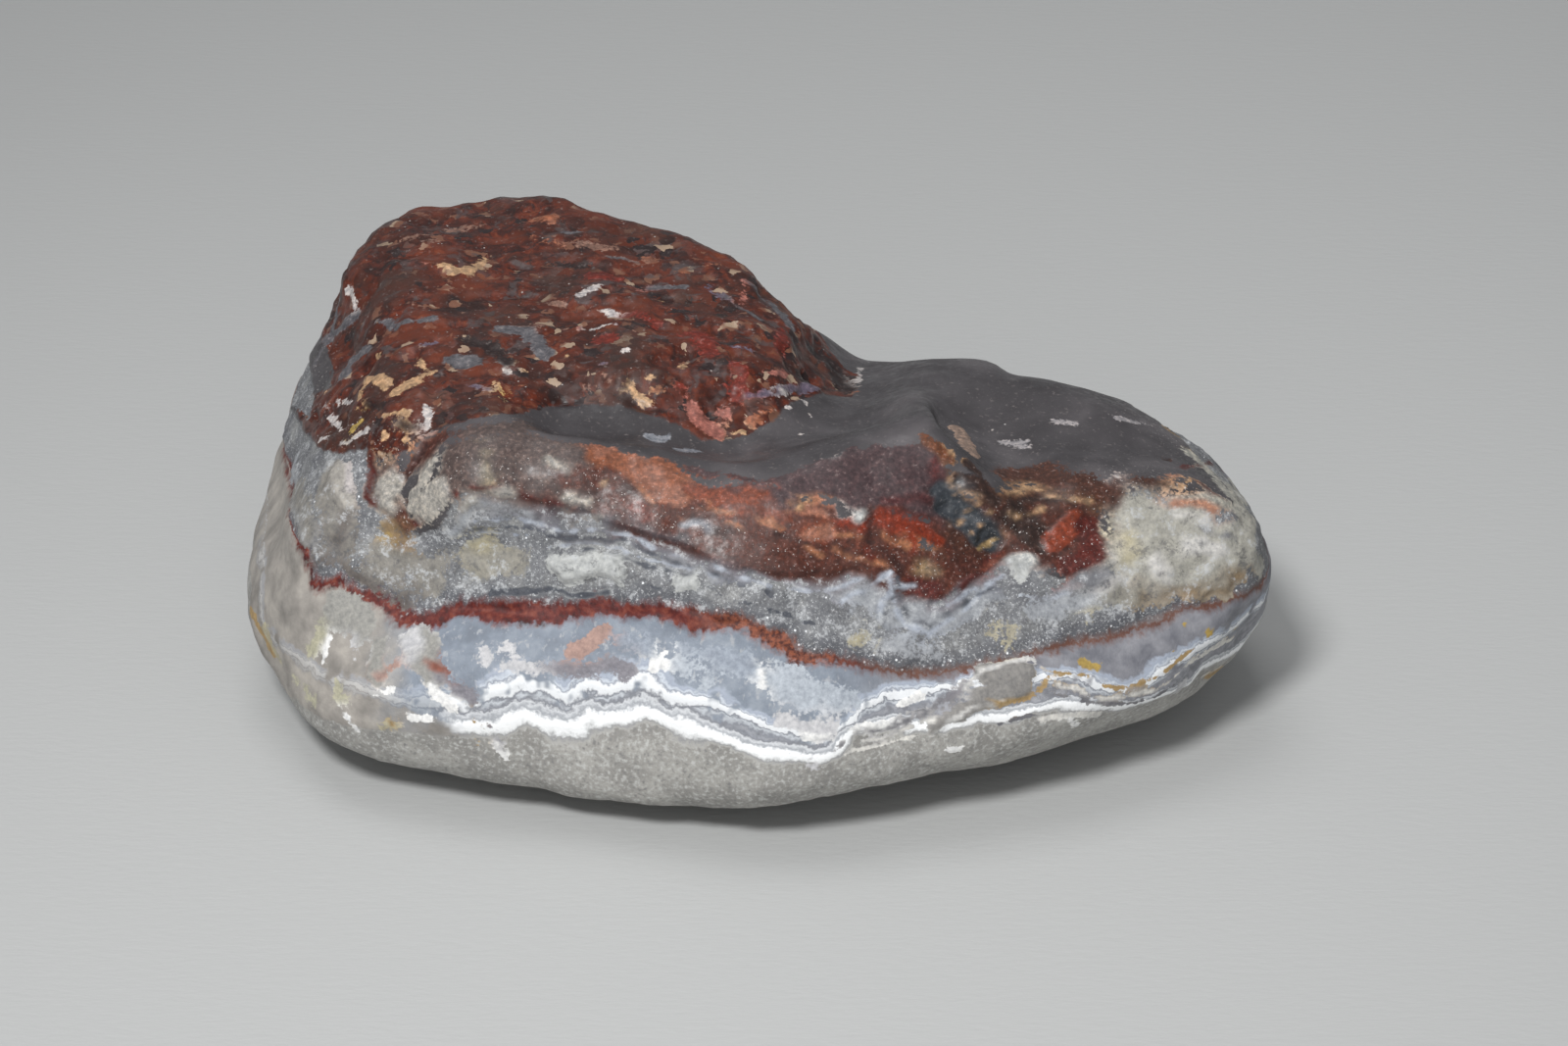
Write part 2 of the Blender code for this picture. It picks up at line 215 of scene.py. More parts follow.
# Layer boundaries and the edge of the jasper hump, right round the stone: pixels from left to right
# where they show, then (azimuth, height in mm) where they don't
RINGS = {
    "cap": (
        ((297, 415), (310, 440), (329, 461), (350, 462), (374, 458), (385, 490), (392, 515),
         (410, 540), (430, 545), (450, 535), (462, 512), (480, 500), (505, 497), (530, 505),
         (555, 515), (575, 520), (600, 522), (640, 540), (680, 552), (720, 568), (760, 584),
         (800, 588), (840, 587), (867, 581), (905, 583), (926, 605), (947, 618), (968, 608),
         (988, 594), (1017, 578), (1028, 559), (1040, 568), (1057, 581), (1081, 591), (1110, 583),
         (1135, 575), (1137, 540), (1138, 508), (1165, 500), (1190, 505), (1215, 515),
         (1240, 520), (1256, 519), (1262, 505), (1250, 495)),
        ((0, 9.0), (30, 8.2), (60, 8.0), (90, 7.4), (120, 7.6), (150, 8.0), (175, 9.0)),
    ),
    "seam": (
        ((308, 559), (321, 599), (345, 593), (363, 609), (379, 609), (397, 620), (413, 630),
         (439, 633), (462, 622), (504, 622), (543, 625), (577, 625), (611, 618), (633, 624),
         (667, 624), (701, 630), (729, 636), (757, 636), (774, 646), (804, 656), (813, 670),
         (822, 672), (854, 674), (894, 682), (921, 685), (953, 688), (988, 682), (1028, 674),
         (1060, 665), (1089, 657), (1116, 652), (1143, 648), (1162, 641), (1188, 633),
         (1203, 624), (1229, 619), (1251, 613), (1275, 606), (1288, 598)),
        ((0, 7.4), (60, 6.6), (120, 6.2), (165, 6.3), (185, 7.6)),
    ),
    "upper lace": (
        ((270, 640), (300, 668), (335, 690), (380, 706), (420, 716), (473, 717), (490, 709),
         (515, 703), (532, 695), (555, 698), (577, 709), (600, 698), (622, 703), (656, 692),
         (673, 706), (701, 715), (729, 717), (757, 731), (785, 740), (830, 748), (850, 750),
         (880, 722), (905, 708), (935, 706), (965, 700), (1000, 695), (1040, 690), (1070, 692),
         (1089, 689), (1106, 691), (1124, 700), (1149, 703), (1164, 700), (1181, 686),
         (1200, 675), (1216, 665), (1232, 655), (1251, 645), (1270, 630), (1286, 615)),
        ((0, 5.6), (60, 4.6), (120, 4.2), (165, 4.4), (190, 5.4)),
    ),
    "lower lace": (
        ((262, 665), (290, 700), (330, 728), (380, 738), (440, 740), (504, 740), (532, 729),
         (560, 737), (588, 740), (602, 729), (616, 734), (659, 726), (701, 740), (743, 754),
         (771, 765), (813, 771), (840, 772), (850, 768), (868, 746), (911, 735), (936, 740),
         (969, 740), (996, 732), (1019, 732), (1044, 727), (1060, 722), (1080, 718),
         (1124, 719), (1149, 718), (1172, 713), (1197, 703), (1213, 696), (1226, 680),
         (1251, 668), (1268, 656), (1283, 635)),
        ((0, 4.4), (60, 3.2), (120, 2.8), (165, 3.0), (190, 4.2)),
    ),
    "jasper": (
        ((302, 410), (312, 440), (329, 461), (350, 462), (374, 458), (392, 470), (420, 458),
         (440, 440), (470, 432), (520, 424), (560, 415), (600, 412), (644, 417), (692, 434),
         (717, 451), (756, 448), (793, 428), (804, 411), (835, 403), (869, 406), (877, 383)),
        ((62, 9.6), (90, 8.4), (120, 8.4), (150, 8.8), (172, 10.0)),
    ),
}

# Patches laid on the skin, lowest first: name, colour, softness of the edge in mm, and
# strokes of (half width, pixels)
PAINTS = (
    ("frost pale", (144, 147, 151), 0.35, (
        (16, (880, 606), (915, 628), (960, 634), (1005, 606)),
        (10, (455, 540), (480, 520), (530, 520), (560, 532)), (9, (905, 655), (960, 662)),
        (14, (1060, 616), (1120, 616)), (8, (690, 570), (730, 590)), (8, (840, 600), (870, 610)),
        (8, (300, 470), (300, 520), (318, 560)),
    )),
    ("frost beige", (136, 133, 124), 0.4, (
        (16, (480, 572), (530, 574)), (12, (395, 560), (440, 590)), (14, (1130, 612), (1190, 604)),
        (10, (876, 652)), (10, (1024, 646)),
    )),
    ("frost smooth", (127, 124, 118), 0.5, (
        (22, (335, 490), (345, 550)), (20, (390, 572), (440, 588)), (14, (300, 500), (312, 545)),
    )),
    ("frost shade", (98, 92, 88), 0.4, (
        (9, (318, 572), (350, 580), (378, 596), (412, 616)), (10, (352, 520), (340, 560)),
    )),
    ("blue milk", (139, 147, 158), 0.35, (
        (10, (640, 652), (662, 660)), (12, (730, 668), (770, 682)), (10, (700, 660), (740, 670)),
    )),
    ("ice", (163, 170, 178), 0.35, (
        (13, (790, 692), (830, 702), (862, 712)), (8, (690, 676), (720, 690)),
    )),
    ("cream left", (169, 166, 145), 0.25, (
        (12, (322, 662), (330, 640)), (7, (340, 700), (352, 716)), (6, (392, 735), (402, 738)),
        (7, (270, 640), (285, 672)), (5, (300, 690), (318, 706)),
    )),
    ("glass left", (144, 143, 138), 0.2, (
        (16, (430, 650), (440, 690)), (12, (390, 655), (385, 690)), (16, (345, 620), (370, 640)),
    )),
    ("shade grey", (122, 120, 126), 0.3, (
        (10, (450, 690), (480, 702)), (8, (555, 680), (595, 684)), (10, (600, 684), (640, 682)),
        (6, (958, 718), (975, 704), (988, 692)), (3, (1075, 703), (1095, 703), (1112, 712), (1135, 713),
        (1160, 708), (1185, 696)), (4, (853, 762), (913, 740), (949, 732)), (5, (498, 742), (506, 758)),
    )),
    ("milk", (184, 184, 186), 0.25, (
        (13, (800, 730), (828, 742), (845, 735)), (9, (423, 645), (424, 668)),
        (6, (515, 682), (545, 685)), (10, (1205, 698)), (7, (826, 780)), (5, (362, 655), (362, 672)),
        (6, (492, 656), (502, 668)), (6, (516, 664), (530, 674)),
    )),
    ("flake", (126, 124, 121), 0.06, (
        (13, (1008, 688), (1044, 688)), (13, (1000, 712), (1040, 700)), (9, (975, 728), (1000, 716)),
        (6, (948, 744), (966, 730)),
    )),
    ("smoky brown", (84, 72, 69), 0.4, (
        (26, (470, 470), (530, 462), (570, 470), (600, 480)), (18, (455, 490), (520, 490), (575, 500)),
        (12, (480, 440), (540, 436)),
    )),
    ("red brown", (72, 41, 34), 0.4, (
        (12, (428, 470), (455, 445)), (8, (500, 498), (560, 508)), (12, (392, 505), (412, 525)),
        (10, (395, 470), (385, 490)), (20, (640, 535), (720, 560), (800, 578), (850, 578)),
        (22, (930, 590), (980, 575), (1020, 556), (1050, 560)), (26, (1060, 560), (1110, 560)),
        (20, (1000, 520), (1100, 530)), (14, (1076, 494), (1105, 500), (1140, 508)),
        (14, (950, 540), (990, 560)), (9, (1132, 498), (1138, 540)), (8, (940, 520), (900, 520)),
    )),
    ("flake edge", (192, 191, 188), 0.05, (
        (2, (984, 702), (1003, 683), (1030, 674), (1052, 672), (1066, 684)),
        (2, (940, 756), (965, 738), (990, 722), (1020, 717)),
    )),
    ("lace right", (206, 204, 198), 0.05, (
        (2, (1073, 700), (1100, 702), (1122, 711), (1150, 711), (1178, 703), (1198, 690), (1222, 668),
        (1250, 652)), (3, (1218, 674), (1236, 662), (1256, 652)), (3, (1228, 689), (1250, 680)),
        (2, (862, 770), (900, 758), (935, 751)), (2, (880, 757), (920, 745), (950, 735)),
        (4, (1060, 734), (1085, 730), (1120, 728)),
    )),
    ("dark right", (104, 104, 108), 0.06, (
        (2, (1073, 708), (1120, 717), (1157, 716), (1180, 708), (1200, 696)),
        (2, (858, 760), (897, 742), (939, 733), (961, 712)), (2, (1000, 738), (1050, 730), (1080, 722)),
        (2, (872, 752), (905, 738), (940, 724)),
    )),
    ("brown lip", (77, 43, 34), 0.18, (
        (26, (612, 496), (680, 520), (740, 545), (800, 556), (860, 560), (900, 575), (945, 592)),
        (20, (700, 505), (760, 525), (820, 535), (900, 550)), (14, (582, 488), (610, 500)),
    )),
    ("warm glow", (69, 43, 34), 0.5, (
        (17, (1028, 488), (1070, 486), (1112, 490)), (12, (1140, 492), (1190, 492)),
        (14, (1030, 512), (1120, 508)), (20, (975, 545), (1010, 552)),
    )),
    ("mauve", (69, 54, 56), 0.2, (
        (25, (850, 490), (890, 478), (932, 466)), (20, (880, 503), (930, 498), (950, 482)),
        (9, (800, 498), (850, 505)), (6, (700, 476), (745, 489), (790, 496), (830, 488)),
        (12, (745, 503), (800, 511)), (10, (925, 515), (950, 522)),
    )),
    ("wine", (76, 36, 36), 0.25, (
        (9, (952, 470), (958, 492)), (5, (905, 512), (945, 508)),
    )),
    ("orange lip", (122, 74, 53), 0.14, (
        (11, (606, 466), (640, 470), (680, 478)), (12, (664, 484), (694, 492)),
        (9, (650, 478), (660, 505)),
    )),
    ("orange glow", (112, 58, 40), 0.22, (
        (11, (700, 500), (735, 505), (775, 513)), (9, (822, 546), (850, 541)),
        (6, (740, 520), (800, 530)),
    )),
    ("ember", (112, 44, 26), 0.14, (
        (8, (862, 531), (900, 531), (935, 541), (952, 554)), (5, (925, 545), (930, 560)),
    )),
    ("rust dark", (52, 26, 20), 0.2, (
        (8, (640, 500), (656, 515)), (6, (880, 520), (884, 560)), (5, (900, 560), (915, 585)),
        (7, (700, 530), (740, 550)), (6, (790, 545), (830, 566)), (6, (600, 500), (620, 514)),
        (4, (948, 500), (962, 515)),
    )),
    ("rust light", (150, 100, 72), 0.12, (
        (3, (712, 520), (745, 522)), (3, (770, 530), (800, 540)), (2, (800, 520), (840, 512)),
        (3, (850, 560), (862, 572)), (2, (742, 534), (756, 544)), (3, (905, 545), (925, 558)),
        (2, (870, 575), (900, 578)), (3, (820, 560), (834, 566)), (2, (655, 500), (668, 514)),
        (2, (700, 506), (722, 512)), (3, (852, 545), (872, 548)), (2, (682, 520), (700, 530)),
    )),
    ("salmon crust", (138, 93, 76), 0.1, (
        (8, (664, 480), (672, 495), (678, 508)), (8, (690, 502), (697, 512)), (4, (645, 468), (652, 490)),
        (5, (815, 520), (840, 528)), (6, (820, 548), (846, 542)), (4, (610, 462), (630, 460)),
    )),
    ("red glass", (89, 40, 29), 0.1, (
        (11, (650, 520), (656, 526)), (5, (882, 562), (888, 572)),
    )),
    ("gold brown", (89, 53, 33), 0.1, (
        (7, (944, 446), (958, 456), (969, 468)), (4, (1022, 490)),
    )),
    ("beige oval", (134, 114, 102), 0.08, (
        (9, (974, 439), (984, 453), (991, 464)),
    )),
    # The flank patch is painted shade: dark brown laid on the nose's steep right flank and close beside it,
    # where shadow falls
    ("flank", (54, 40, 36), 0.12, (
        (8, (976, 488), (1000, 498), (1012, 508)), (14, (1030, 522), (1048, 536), (1064, 552)),
        (5, (985, 470), (995, 484)), (6, (1192, 470)), (5, (1040, 512), (1090, 510)),
    )),
    ("crater", (58, 62, 67), 0.12, (
        (17, (966, 512), (988, 526), (1008, 545)), (8, (955, 500), (980, 496)),
    )),
    ("facet", (115, 52, 33), 0.06, (
        (11, (1074, 554), (1086, 540), (1095, 533)),
    )),
    ("garnet", (77, 33, 28), 0.12, (
        (13, (1110, 540), (1121, 560), (1092, 577)), (4, (1020, 562), (1000, 585), (975, 602)),
        (4, (1206, 480), (1222, 474), (1238, 470)), (5, (1222, 494), (1240, 505), (1253, 517)),
        (5, (383, 462), (380, 480), (372, 500), (385, 517)), (5, (408, 525), (418, 536), (432, 530)),
        (4, (464, 505)), (4, (486, 498), (494, 500)), (2, (500, 490), (502, 504)),
        (3, (525, 503), (544, 504)), (3, (556, 508), (561, 521)), (5, (566, 514), (590, 518), (618, 520)),
        (10, (930, 600), (950, 606)),
    )),
    ("wave pale", (156, 162, 172), 0.07, (
        (2, (484, 534), (514, 530), (545, 532), (575, 540), (608, 538), (640, 545), (684, 567),
        (720, 575), (785, 600)), (2, (560, 560), (597, 550), (629, 558), (662, 573), (705, 581),
        (750, 592)), (2, (470, 548), (500, 543), (540, 546)),
        (3, (893, 640), (900, 612), (912, 597), (933, 600)), (3, (905, 592), (914, 620), (926, 640),
        (948, 646), (990, 616), (1022, 586)), (2, (958, 620), (990, 603), (1026, 588)),
        (2, (800, 604), (840, 602), (880, 592)), (2, (860, 612), (885, 600), (905, 583)),
        (2, (1040, 606), (1075, 610), (1110, 606)),
    )),
    ("hem shade", (68, 64, 68), 0.25, (
        (5, (552, 524), (600, 524), (650, 536), (700, 556)), (4, (560, 545), (620, 545)),
    )),
    ("wave dark", (70, 73, 80), 0.08, (
        (2, (482, 541), (514, 537), (545, 539), (575, 547), (608, 545), (640, 552), (684, 574),
        (720, 582), (785, 607)), (2, (560, 567), (597, 557), (629, 565), (662, 580), (705, 588)),
        (2, (900, 640), (906, 614), (918, 602)), (2, (912, 590), (921, 618), (932, 634), (948, 640),
        (985, 612)), (2, (962, 626), (992, 610), (1028, 594)), (2, (720, 600), (780, 622), (830, 636)),
        (3, (500, 605), (560, 602), (620, 606)), (2, (640, 590), (672, 600)),
    )),
    ("pale right", (158, 156, 147), 0.3, (
        (30, (1168, 534), (1210, 540), (1262, 560)), (24, (1160, 566), (1200, 582), (1250, 585)),
        (10, (1210, 462), (1236, 485), (1262, 510)), (12, (1262, 500), (1280, 550)),
        (12, (1275, 540), (1284, 580)), (12, (1196, 512), (1240, 512), (1275, 530)),
        (9, (1222, 470), (1252, 492), (1280, 528)), (10, (1150, 520), (1190, 516)),
    )),
    ("white right", (190, 188, 184), 0.22, (
        (12, (1185, 575), (1192, 590)), (13, (1215, 555), (1240, 565)), (7, (1120, 600), (1150, 590)),
        (5, (1142, 540), (1140, 575)), (5, (1198, 522), (1215, 529), (1236, 524)),
    )),
    ("salmon right", (160, 118, 98), 0.12, (
        (5, (1198, 512), (1225, 514), (1246, 521)), (4, (1192, 485), (1206, 488)),
    )),
    ("butter", (166, 158, 131), 0.3, (
        (8, (1146, 545), (1152, 568)), (6, (478, 560), (502, 555)), (7, (876, 652)), (7, (1026, 648)),
        (6, (1112, 640)), (3, (497, 466), (498, 488)),
    )),
    ("umber", (127, 107, 81), 0.35, (
        (8, (1212, 606), (1240, 600), (1264, 592)), (9, (402, 536), (420, 548)),
        (6, (1170, 612), (1210, 606)), (5, (1150, 412), (1180, 429), (1206, 450)), (7, (942, 583)),
    )),
    ("slate streak", (112, 113, 117), 0.15, (
        (4, (1220, 533), (1245, 540), (1262, 548)), (9, (1130, 585), (1100, 598)),
    )),
    ("pearl", (146, 142, 144), 0.3, (
        (6, (1074, 430), (1094, 432)), (7, (1138, 428), (1168, 434)), (5, (1020, 452), (1044, 455)),
    )),
    ("leaf", (70, 46, 42), 0.05, (
        (6, (407, 495), (420, 475), (435, 456)), (3, (415, 510)),
    )),
    ("quartz left", (155, 151, 144), 0.2, (
        (12, (404, 492), (398, 512)), (14, (442, 500), (432, 518)), (8, (445, 470)),
        (15, (345, 482), (350, 506)), (8, (398, 480), (390, 497)),
        (8, (436, 475), (428, 495), (421, 514), (441, 510)), (7, (505, 505), (520, 502)),
        (7, (466, 518), (484, 514)), (6, (582, 508), (602, 514)), (6, (566, 474), (574, 478)),
    )),
    ("crust", (174, 176, 174), 0.14, (
        (15, (575, 580), (600, 575), (628, 584)), (6, (612, 566), (632, 572)),
        (8, (690, 596), (706, 598)), (6, (870, 522)), (10, (1034, 573), (1046, 573), (1040, 586)),
    )),
    ("blue crust", (124, 127, 134), 0.15, (
        (8, (667, 449), (681, 446)), (6, (692, 460), (706, 462)), (5, (700, 536), (726, 541)),
    )),
    ("grey", (88, 86, 90), 0.12, (
        (9, (512, 338), (540, 338), (550, 352), (556, 361)), (13, (464, 368), (484, 372)),
        (9, (334, 346), (350, 335), (364, 322)), (10, (352, 386), (362, 368), (374, 358)),
        (7, (668, 292), (694, 294)), (6, (576, 234), (590, 238)), (5, (620, 262), (650, 268)),
        (5, (345, 300), (340, 340), (322, 372)), (5, (735, 300), (770, 325)), (5, (385, 330), (440, 326)),
        (5, (760, 290), (780, 305)), (8, (790, 310), (805, 335)),
    )),
    ("lavender", (96, 86, 100), 0.15, (
        (5, (720, 292), (732, 302)), (4, (748, 356), (765, 359), (785, 345)), (4, (740, 373)),
        (3, (628, 334)), (6, (770, 405), (795, 398), (826, 394)), (4, (430, 352), (442, 348)),
        (3, (615, 372)), (4, (480, 395), (500, 402)),
    )),
    ("clot", (104, 40, 30), 0.3, (
        (13, (712, 338), (722, 362)), (12, (748, 380), (755, 402)), (7, (797, 342), (795, 362)),
        (9, (640, 320), (668, 330)), (8, (610, 345), (625, 345)), (8, (600, 280), (630, 285)),
        (7, (690, 400), (700, 405)),
    )),
    ("dark", (42, 30, 29), 0.3, (
        (16, (828, 356), (846, 372)), (14, (850, 380), (858, 394)), (5, (378, 414), (390, 415)),
        (6, (408, 436), (428, 440)), (9, (480, 345), (520, 370)), (7, (560, 270), (600, 268)),
        (6, (690, 320), (700, 318)), (5, (620, 400), (640, 388)),
    )),
    ("tan", (136, 84, 62), 0.15, (
        (9, (540, 222), (562, 223)), (5, (545, 246), (578, 251)), (8, (656, 262), (676, 264)),
        (5, (694, 278), (704, 278)), (4, (712, 273), (735, 274)), (8, (765, 430), (787, 421)),
        (3, (875, 402)), (4, (530, 392)), (4, (668, 400)), (2, (409, 468), (430, 450), (448, 441)),
    )),
    ("pink", (146, 92, 82), 0.15, (
        (11, (706, 416), (712, 432), (728, 441)), (8, (738, 420), (735, 432)), (5, (655, 294)),
        (4, (756, 288), (758, 308)), (4, (430, 235)), (4, (440, 271)), (5, (780, 378), (800, 382)),
        (4, (590, 336)),
    )),
    ("cream", (167, 135, 104), 0.1, (
        (8, (459, 275), (472, 281), (484, 275)), (4, (485, 274), (497, 262)), (7, (376, 390), (396, 392)),
        (9, (411, 398), (425, 390)), (5, (425, 390), (438, 380)), (3, (425, 361), (428, 373), (438, 380)),
        (4, (372, 398), (369, 420)), (4, (387, 361)), (4, (335, 402)), (4, (325, 438)), (4, (415, 450)),
        (3, (391, 464)), (4, (534, 376)), (4, (517, 401)), (3, (507, 394), (510, 410)), (3, (578, 364)),
        (5, (645, 394), (652, 403), (662, 411)), (4, (662, 385)), (6, (696, 374)), (4, (678, 308)),
        (5, (744, 440), (754, 440)), (4, (395, 425), (420, 424)), (4, (395, 447)),
        (3, (1028, 522), (1045, 527), (1063, 523)), (3, (1025, 503), (1045, 500), (1064, 503)),
        (2, (1070, 508), (1112, 513)), (3, (1197, 496), (1210, 495), (1217, 491)), (3, (971, 461)),
        (4, (812, 517)), (3, (617, 492)), (2, (975, 503)), (2, (985, 520), (990, 516)), (3, (997, 512)),
        (2, (1004, 533)), (2, (966, 494)), (2, (992, 542)), (2, (978, 531), (983, 528)), (2, (1010, 520)),
    )),
    ("faint cream", (122, 92, 80), 0.2, (
        (5, (410, 247), (430, 242), (447, 248)), (4, (458, 236), (488, 229)), (5, (593, 251), (622, 253)),
        (7, (570, 309)), (4, (549, 334), (556, 335)), (3, (575, 333)), (4, (319, 400)), (4, (474, 319)),
        (3, (416, 310), (436, 310)), (3, (662, 355)), (3, (650, 341)), (3, (606, 361)),
        (3, (590, 395), (602, 392)), (3, (612, 383)), (3, (655, 268), (668, 262)),
    )),
    ("white", (177, 171, 169), 0.1, (
        (5, (593, 301), (608, 294)), (5, (617, 315), (624, 318)), (3, (604, 336), (616, 335)),
        (3, (597, 327)), (5, (638, 359)), (6, (799, 401)), (5, (819, 411)), (5, (805, 418)),
        (3, (828, 424)), (4, (357, 293), (363, 314)), (3, (341, 412), (356, 411)),
        (3, (332, 416), (340, 427), (346, 442)), (4, (350, 452), (362, 450), (376, 441)),
        (3, (328, 453), (339, 447)), (4, (434, 416), (438, 428), (437, 438)), (3, (519, 378)),
        (3, (452, 228)), (2, (818, 444)), (2, (887, 440)), (2, (845, 463)), (3, (880, 377), (876, 392)),
        (4, (1141, 488)), (2, (1013, 440)), (4, (358, 474), (356, 497)),
    )),
    ("yellow", (162, 138, 77), 0.1, (
        (5, (361, 440), (367, 432)), (3, (516, 404)), (5, (1106, 678), (1122, 677)), (3, (1197, 664)),
        (4, (1235, 645)), (3, (1211, 636)), (3, (1259, 643)), (2, (398, 543)),
    )),
    ("peach", (158, 130, 120), 0.12, (
        (11, (590, 661), (606, 656), (615, 648)), (5, (386, 687), (408, 673)),
    )),
    ("lace bits", (222, 222, 220), 0.06, (
        (6, (440, 701), (462, 722)), (3, (385, 709), (402, 703)), (5, (418, 732), (438, 732)),
        (4, (337, 650), (330, 675)), (3, (503, 758), (518, 774)), (4, (679, 664)), (7, (676, 675)),
        (8, (668, 678)), (4, (778, 686), (779, 700)), (3, (868, 746), (910, 733)),
        (4, (919, 719), (939, 709)), (4, (1092, 735), (1100, 740)), (3, (966, 766), (980, 764)),
        (4, (820, 752), (842, 748)), (3, (352, 728), (368, 745)),
    )),
    ("ochre line", (155, 131, 92), 0.05, (
        (2, (1005, 712), (1020, 718), (1045, 714), (1062, 704), (1069, 692)),
        (2, (1070, 688), (1106, 689), (1125, 698), (1148, 701)),
        (2, (1148, 701), (1166, 698), (1192, 681), (1217, 662)), (4, (257, 622), (265, 640), (280, 668)),
        (4, (400, 736)), (2, (484, 729), (487, 760)), (5, (1232, 690), (1250, 684)),
        (2, (1000, 560), (1018, 548)),
    )),
    ("rust bits", (124, 74, 60), 0.1, (
        (4, (438, 676), (462, 684)), (2, (1030, 545), (1022, 566), (1000, 584)),
        (3, (1085, 600), (1095, 590)), (2, (867, 538), (875, 562)),
    )),
)

# Marks that stand proud or lie low: name, height in mm, roughness in mm, and width of the edge in mm
RAISED = (
    ("flake", 0.16, 0.03, 0.1),
    ("flake edge", 0.05, 0.0, 0.1),
    ("crust", 0.20, 0.10, 0.2),
    ("white right", 0.05, 0.012, 0.3),
    ("quartz left", 0.08, 0.08, 0.2),
    ("crater", -0.16, 0.18, 0.3),
    ("flank", -0.05, 0.06, 0.2),
    ("leaf", -0.12, 0.03, 0.12),
    ("salmon crust", -0.04, 0.04, 0.12),
    ("facet", 0.06, 0.01, 0.1),
    ("beige oval", 0.05, 0.0, 0.1),
    ("cream", 0.05, 0.05, 0.15),
    ("tan", 0.04, 0.05, 0.2),
    ("dark", -0.10, 0.04, 0.4),
    ("umber", -0.10, 0.06, 0.35),
    ("pale right", 0.0, 0.012, 0.3),
    ("lace bits", 0.04, 0.02, 0.1),
)

# The noises of the relief, coarse, middle and fine, as (size in mm, seed), and their heights in mm
# in each zone
RELIEF_NOISES = ((1.3, 51), (0.62, 52), (0.34, 53))
JASPER_KNOBS = (0.10, 0.08, 0.05)
POLISH_WAVES = (0.03, 0.012, 0.0)
FROST_GRAINS = (0.06, 0.06, 0.05)
BASE_GRAINS = (0.03, 0.02, 0.018)

# Where one zone of the relief passes into the next, as (from, to) in mm of its boundary's distance,
# and how far the middle noise frays the cap's edge and the seam
CAP_EDGE = (-0.12, 0.12)
JASPER_EDGE = (-0.2, 0.3)
FROST_EDGE = (0.0, 0.3)
BASE_EDGE = (-0.3, 0.1)
CAP_FRAY = 0.12
SEAM_FRAY = 0.1

# Pits of the jasper: the noise's size in mm and seed, its values from edge to bottom, and their depth;
# then how far the cap stands proud and the frosted quartz lies low, all in mm
JASPER_PITS = (0.9, 54)
PIT_EDGE = (0.3, 0.7)
JASPER_PIT_DEPTH = 0.16
CAP_RISE = 0.06
FROST_FALL = 0.05

# The fine groove in the seam and the two swellings of the lace, as (height, half width) in mm
SEAM_FALL = (0.12, 0.22)
LOWER_LACE_RISE = (0.05, 0.3)
UPPER_LACE_RISE = (0.035, 0.2)

# The groove's depth goes up and down as (share that stays, share of the coarse noise), and the
# roughness of the raised marks is mixed as (share of the middle noise, share of the fine noise)
SEAM_SHARES = (0.7, 0.6)
ROUGH_SHARES = (0.6, 0.8)

# Noise that tears the edges of the strokes, as (reach in mm, size in mm, seed), and their fine grain
TEARS = ((0.30, 1.1, 31), (0.16, 0.45, 41))
EDGE_GRAIN = (0.07, 0.3, 61)

# How much of each stroke's tearing its softness brings, and how far its colour runs on past its edge
# under the soft rim, as (outer, inner) in mm
TEAR_PER_SOFTNESS = 5.0
RUN_ON = (0.5, 0.1)

# Colours as they look on a screen, from 0 to 255, in ramps of (place from 0 to 1, colour)
JASPER_CLOTS = (
    (0.0, (36, 22, 20)), (0.25, (56, 29, 22)), (0.45, (92, 42, 25)), (0.62, (48, 32, 29)),
    (0.78, (98, 47, 31)), (0.92, (78, 70, 70)), (1.0, (96, 62, 48)),
)
JASPER_FLOW = ((0.3, (30, 19, 17)), (0.46, (64, 29, 21)), (0.6, (100, 44, 26)), (0.75, (128, 78, 54)))
SMOKE = ((0.3, (56, 53, 55)), (0.5, (70, 67, 69)), (0.7, (88, 84, 86)))
FROST = ((0.28, (90, 91, 95)), (0.5, (113, 114, 116)), (0.72, (141, 141, 139)))
BLUE_BAND = ((0.3, (110, 117, 127)), (0.5, (123, 131, 142)), (0.7, (142, 149, 158)))
BEIGE_BAND = ((0.3, (125, 121, 116)), (0.5, (148, 143, 137)), (0.7, (171, 165, 157)))
RIGHT_BAND = ((0.3, (101, 102, 109)), (0.7, (140, 140, 145)))
RUST = ((0.3, (54, 24, 24)), (0.5, (92, 36, 31)), (0.72, (126, 66, 52)))

# The two runs of lace from their lower edge up, as (distance, colour), distance 1 being their half width
UPPER_LACE = (
    (-0.85, (146, 148, 152)), (-0.62, (126, 129, 136)), (-0.42, (186, 190, 195)),
    (-0.30, (118, 121, 128)), (-0.21, (214, 216, 218)), (0.15, (222, 224, 226)),
    (0.24, (138, 143, 153)), (0.34, (190, 196, 204)), (0.48, (150, 157, 170)), (0.8, (172, 180, 194)),
)
LOWER_LACE = (
    (-0.85, (154, 152, 148)), (-0.6, (176, 174, 170)), (-0.42, (144, 144, 144)),
    (-0.30, (205, 206, 206)), (-0.18, (232, 233, 233)), (0.12, (236, 237, 238)),
    (0.27, (150, 153, 158)), (0.44, (198, 200, 203)), (0.56, (120, 122, 128)), (0.75, (132, 134, 140)),
)

# What the patches are multiplied by: fine speckle below the cap, coarser grit on it
SPECKLE = ((0.36, (0.66, 0.66, 0.68)), (0.64, (1.22, 1.2, 1.18)))
GRIT = ((0.36, (0.42, 0.42, 0.44)), (0.5, (0.9, 0.9, 0.9)), (0.62, (1.7, 1.6, 1.5)))

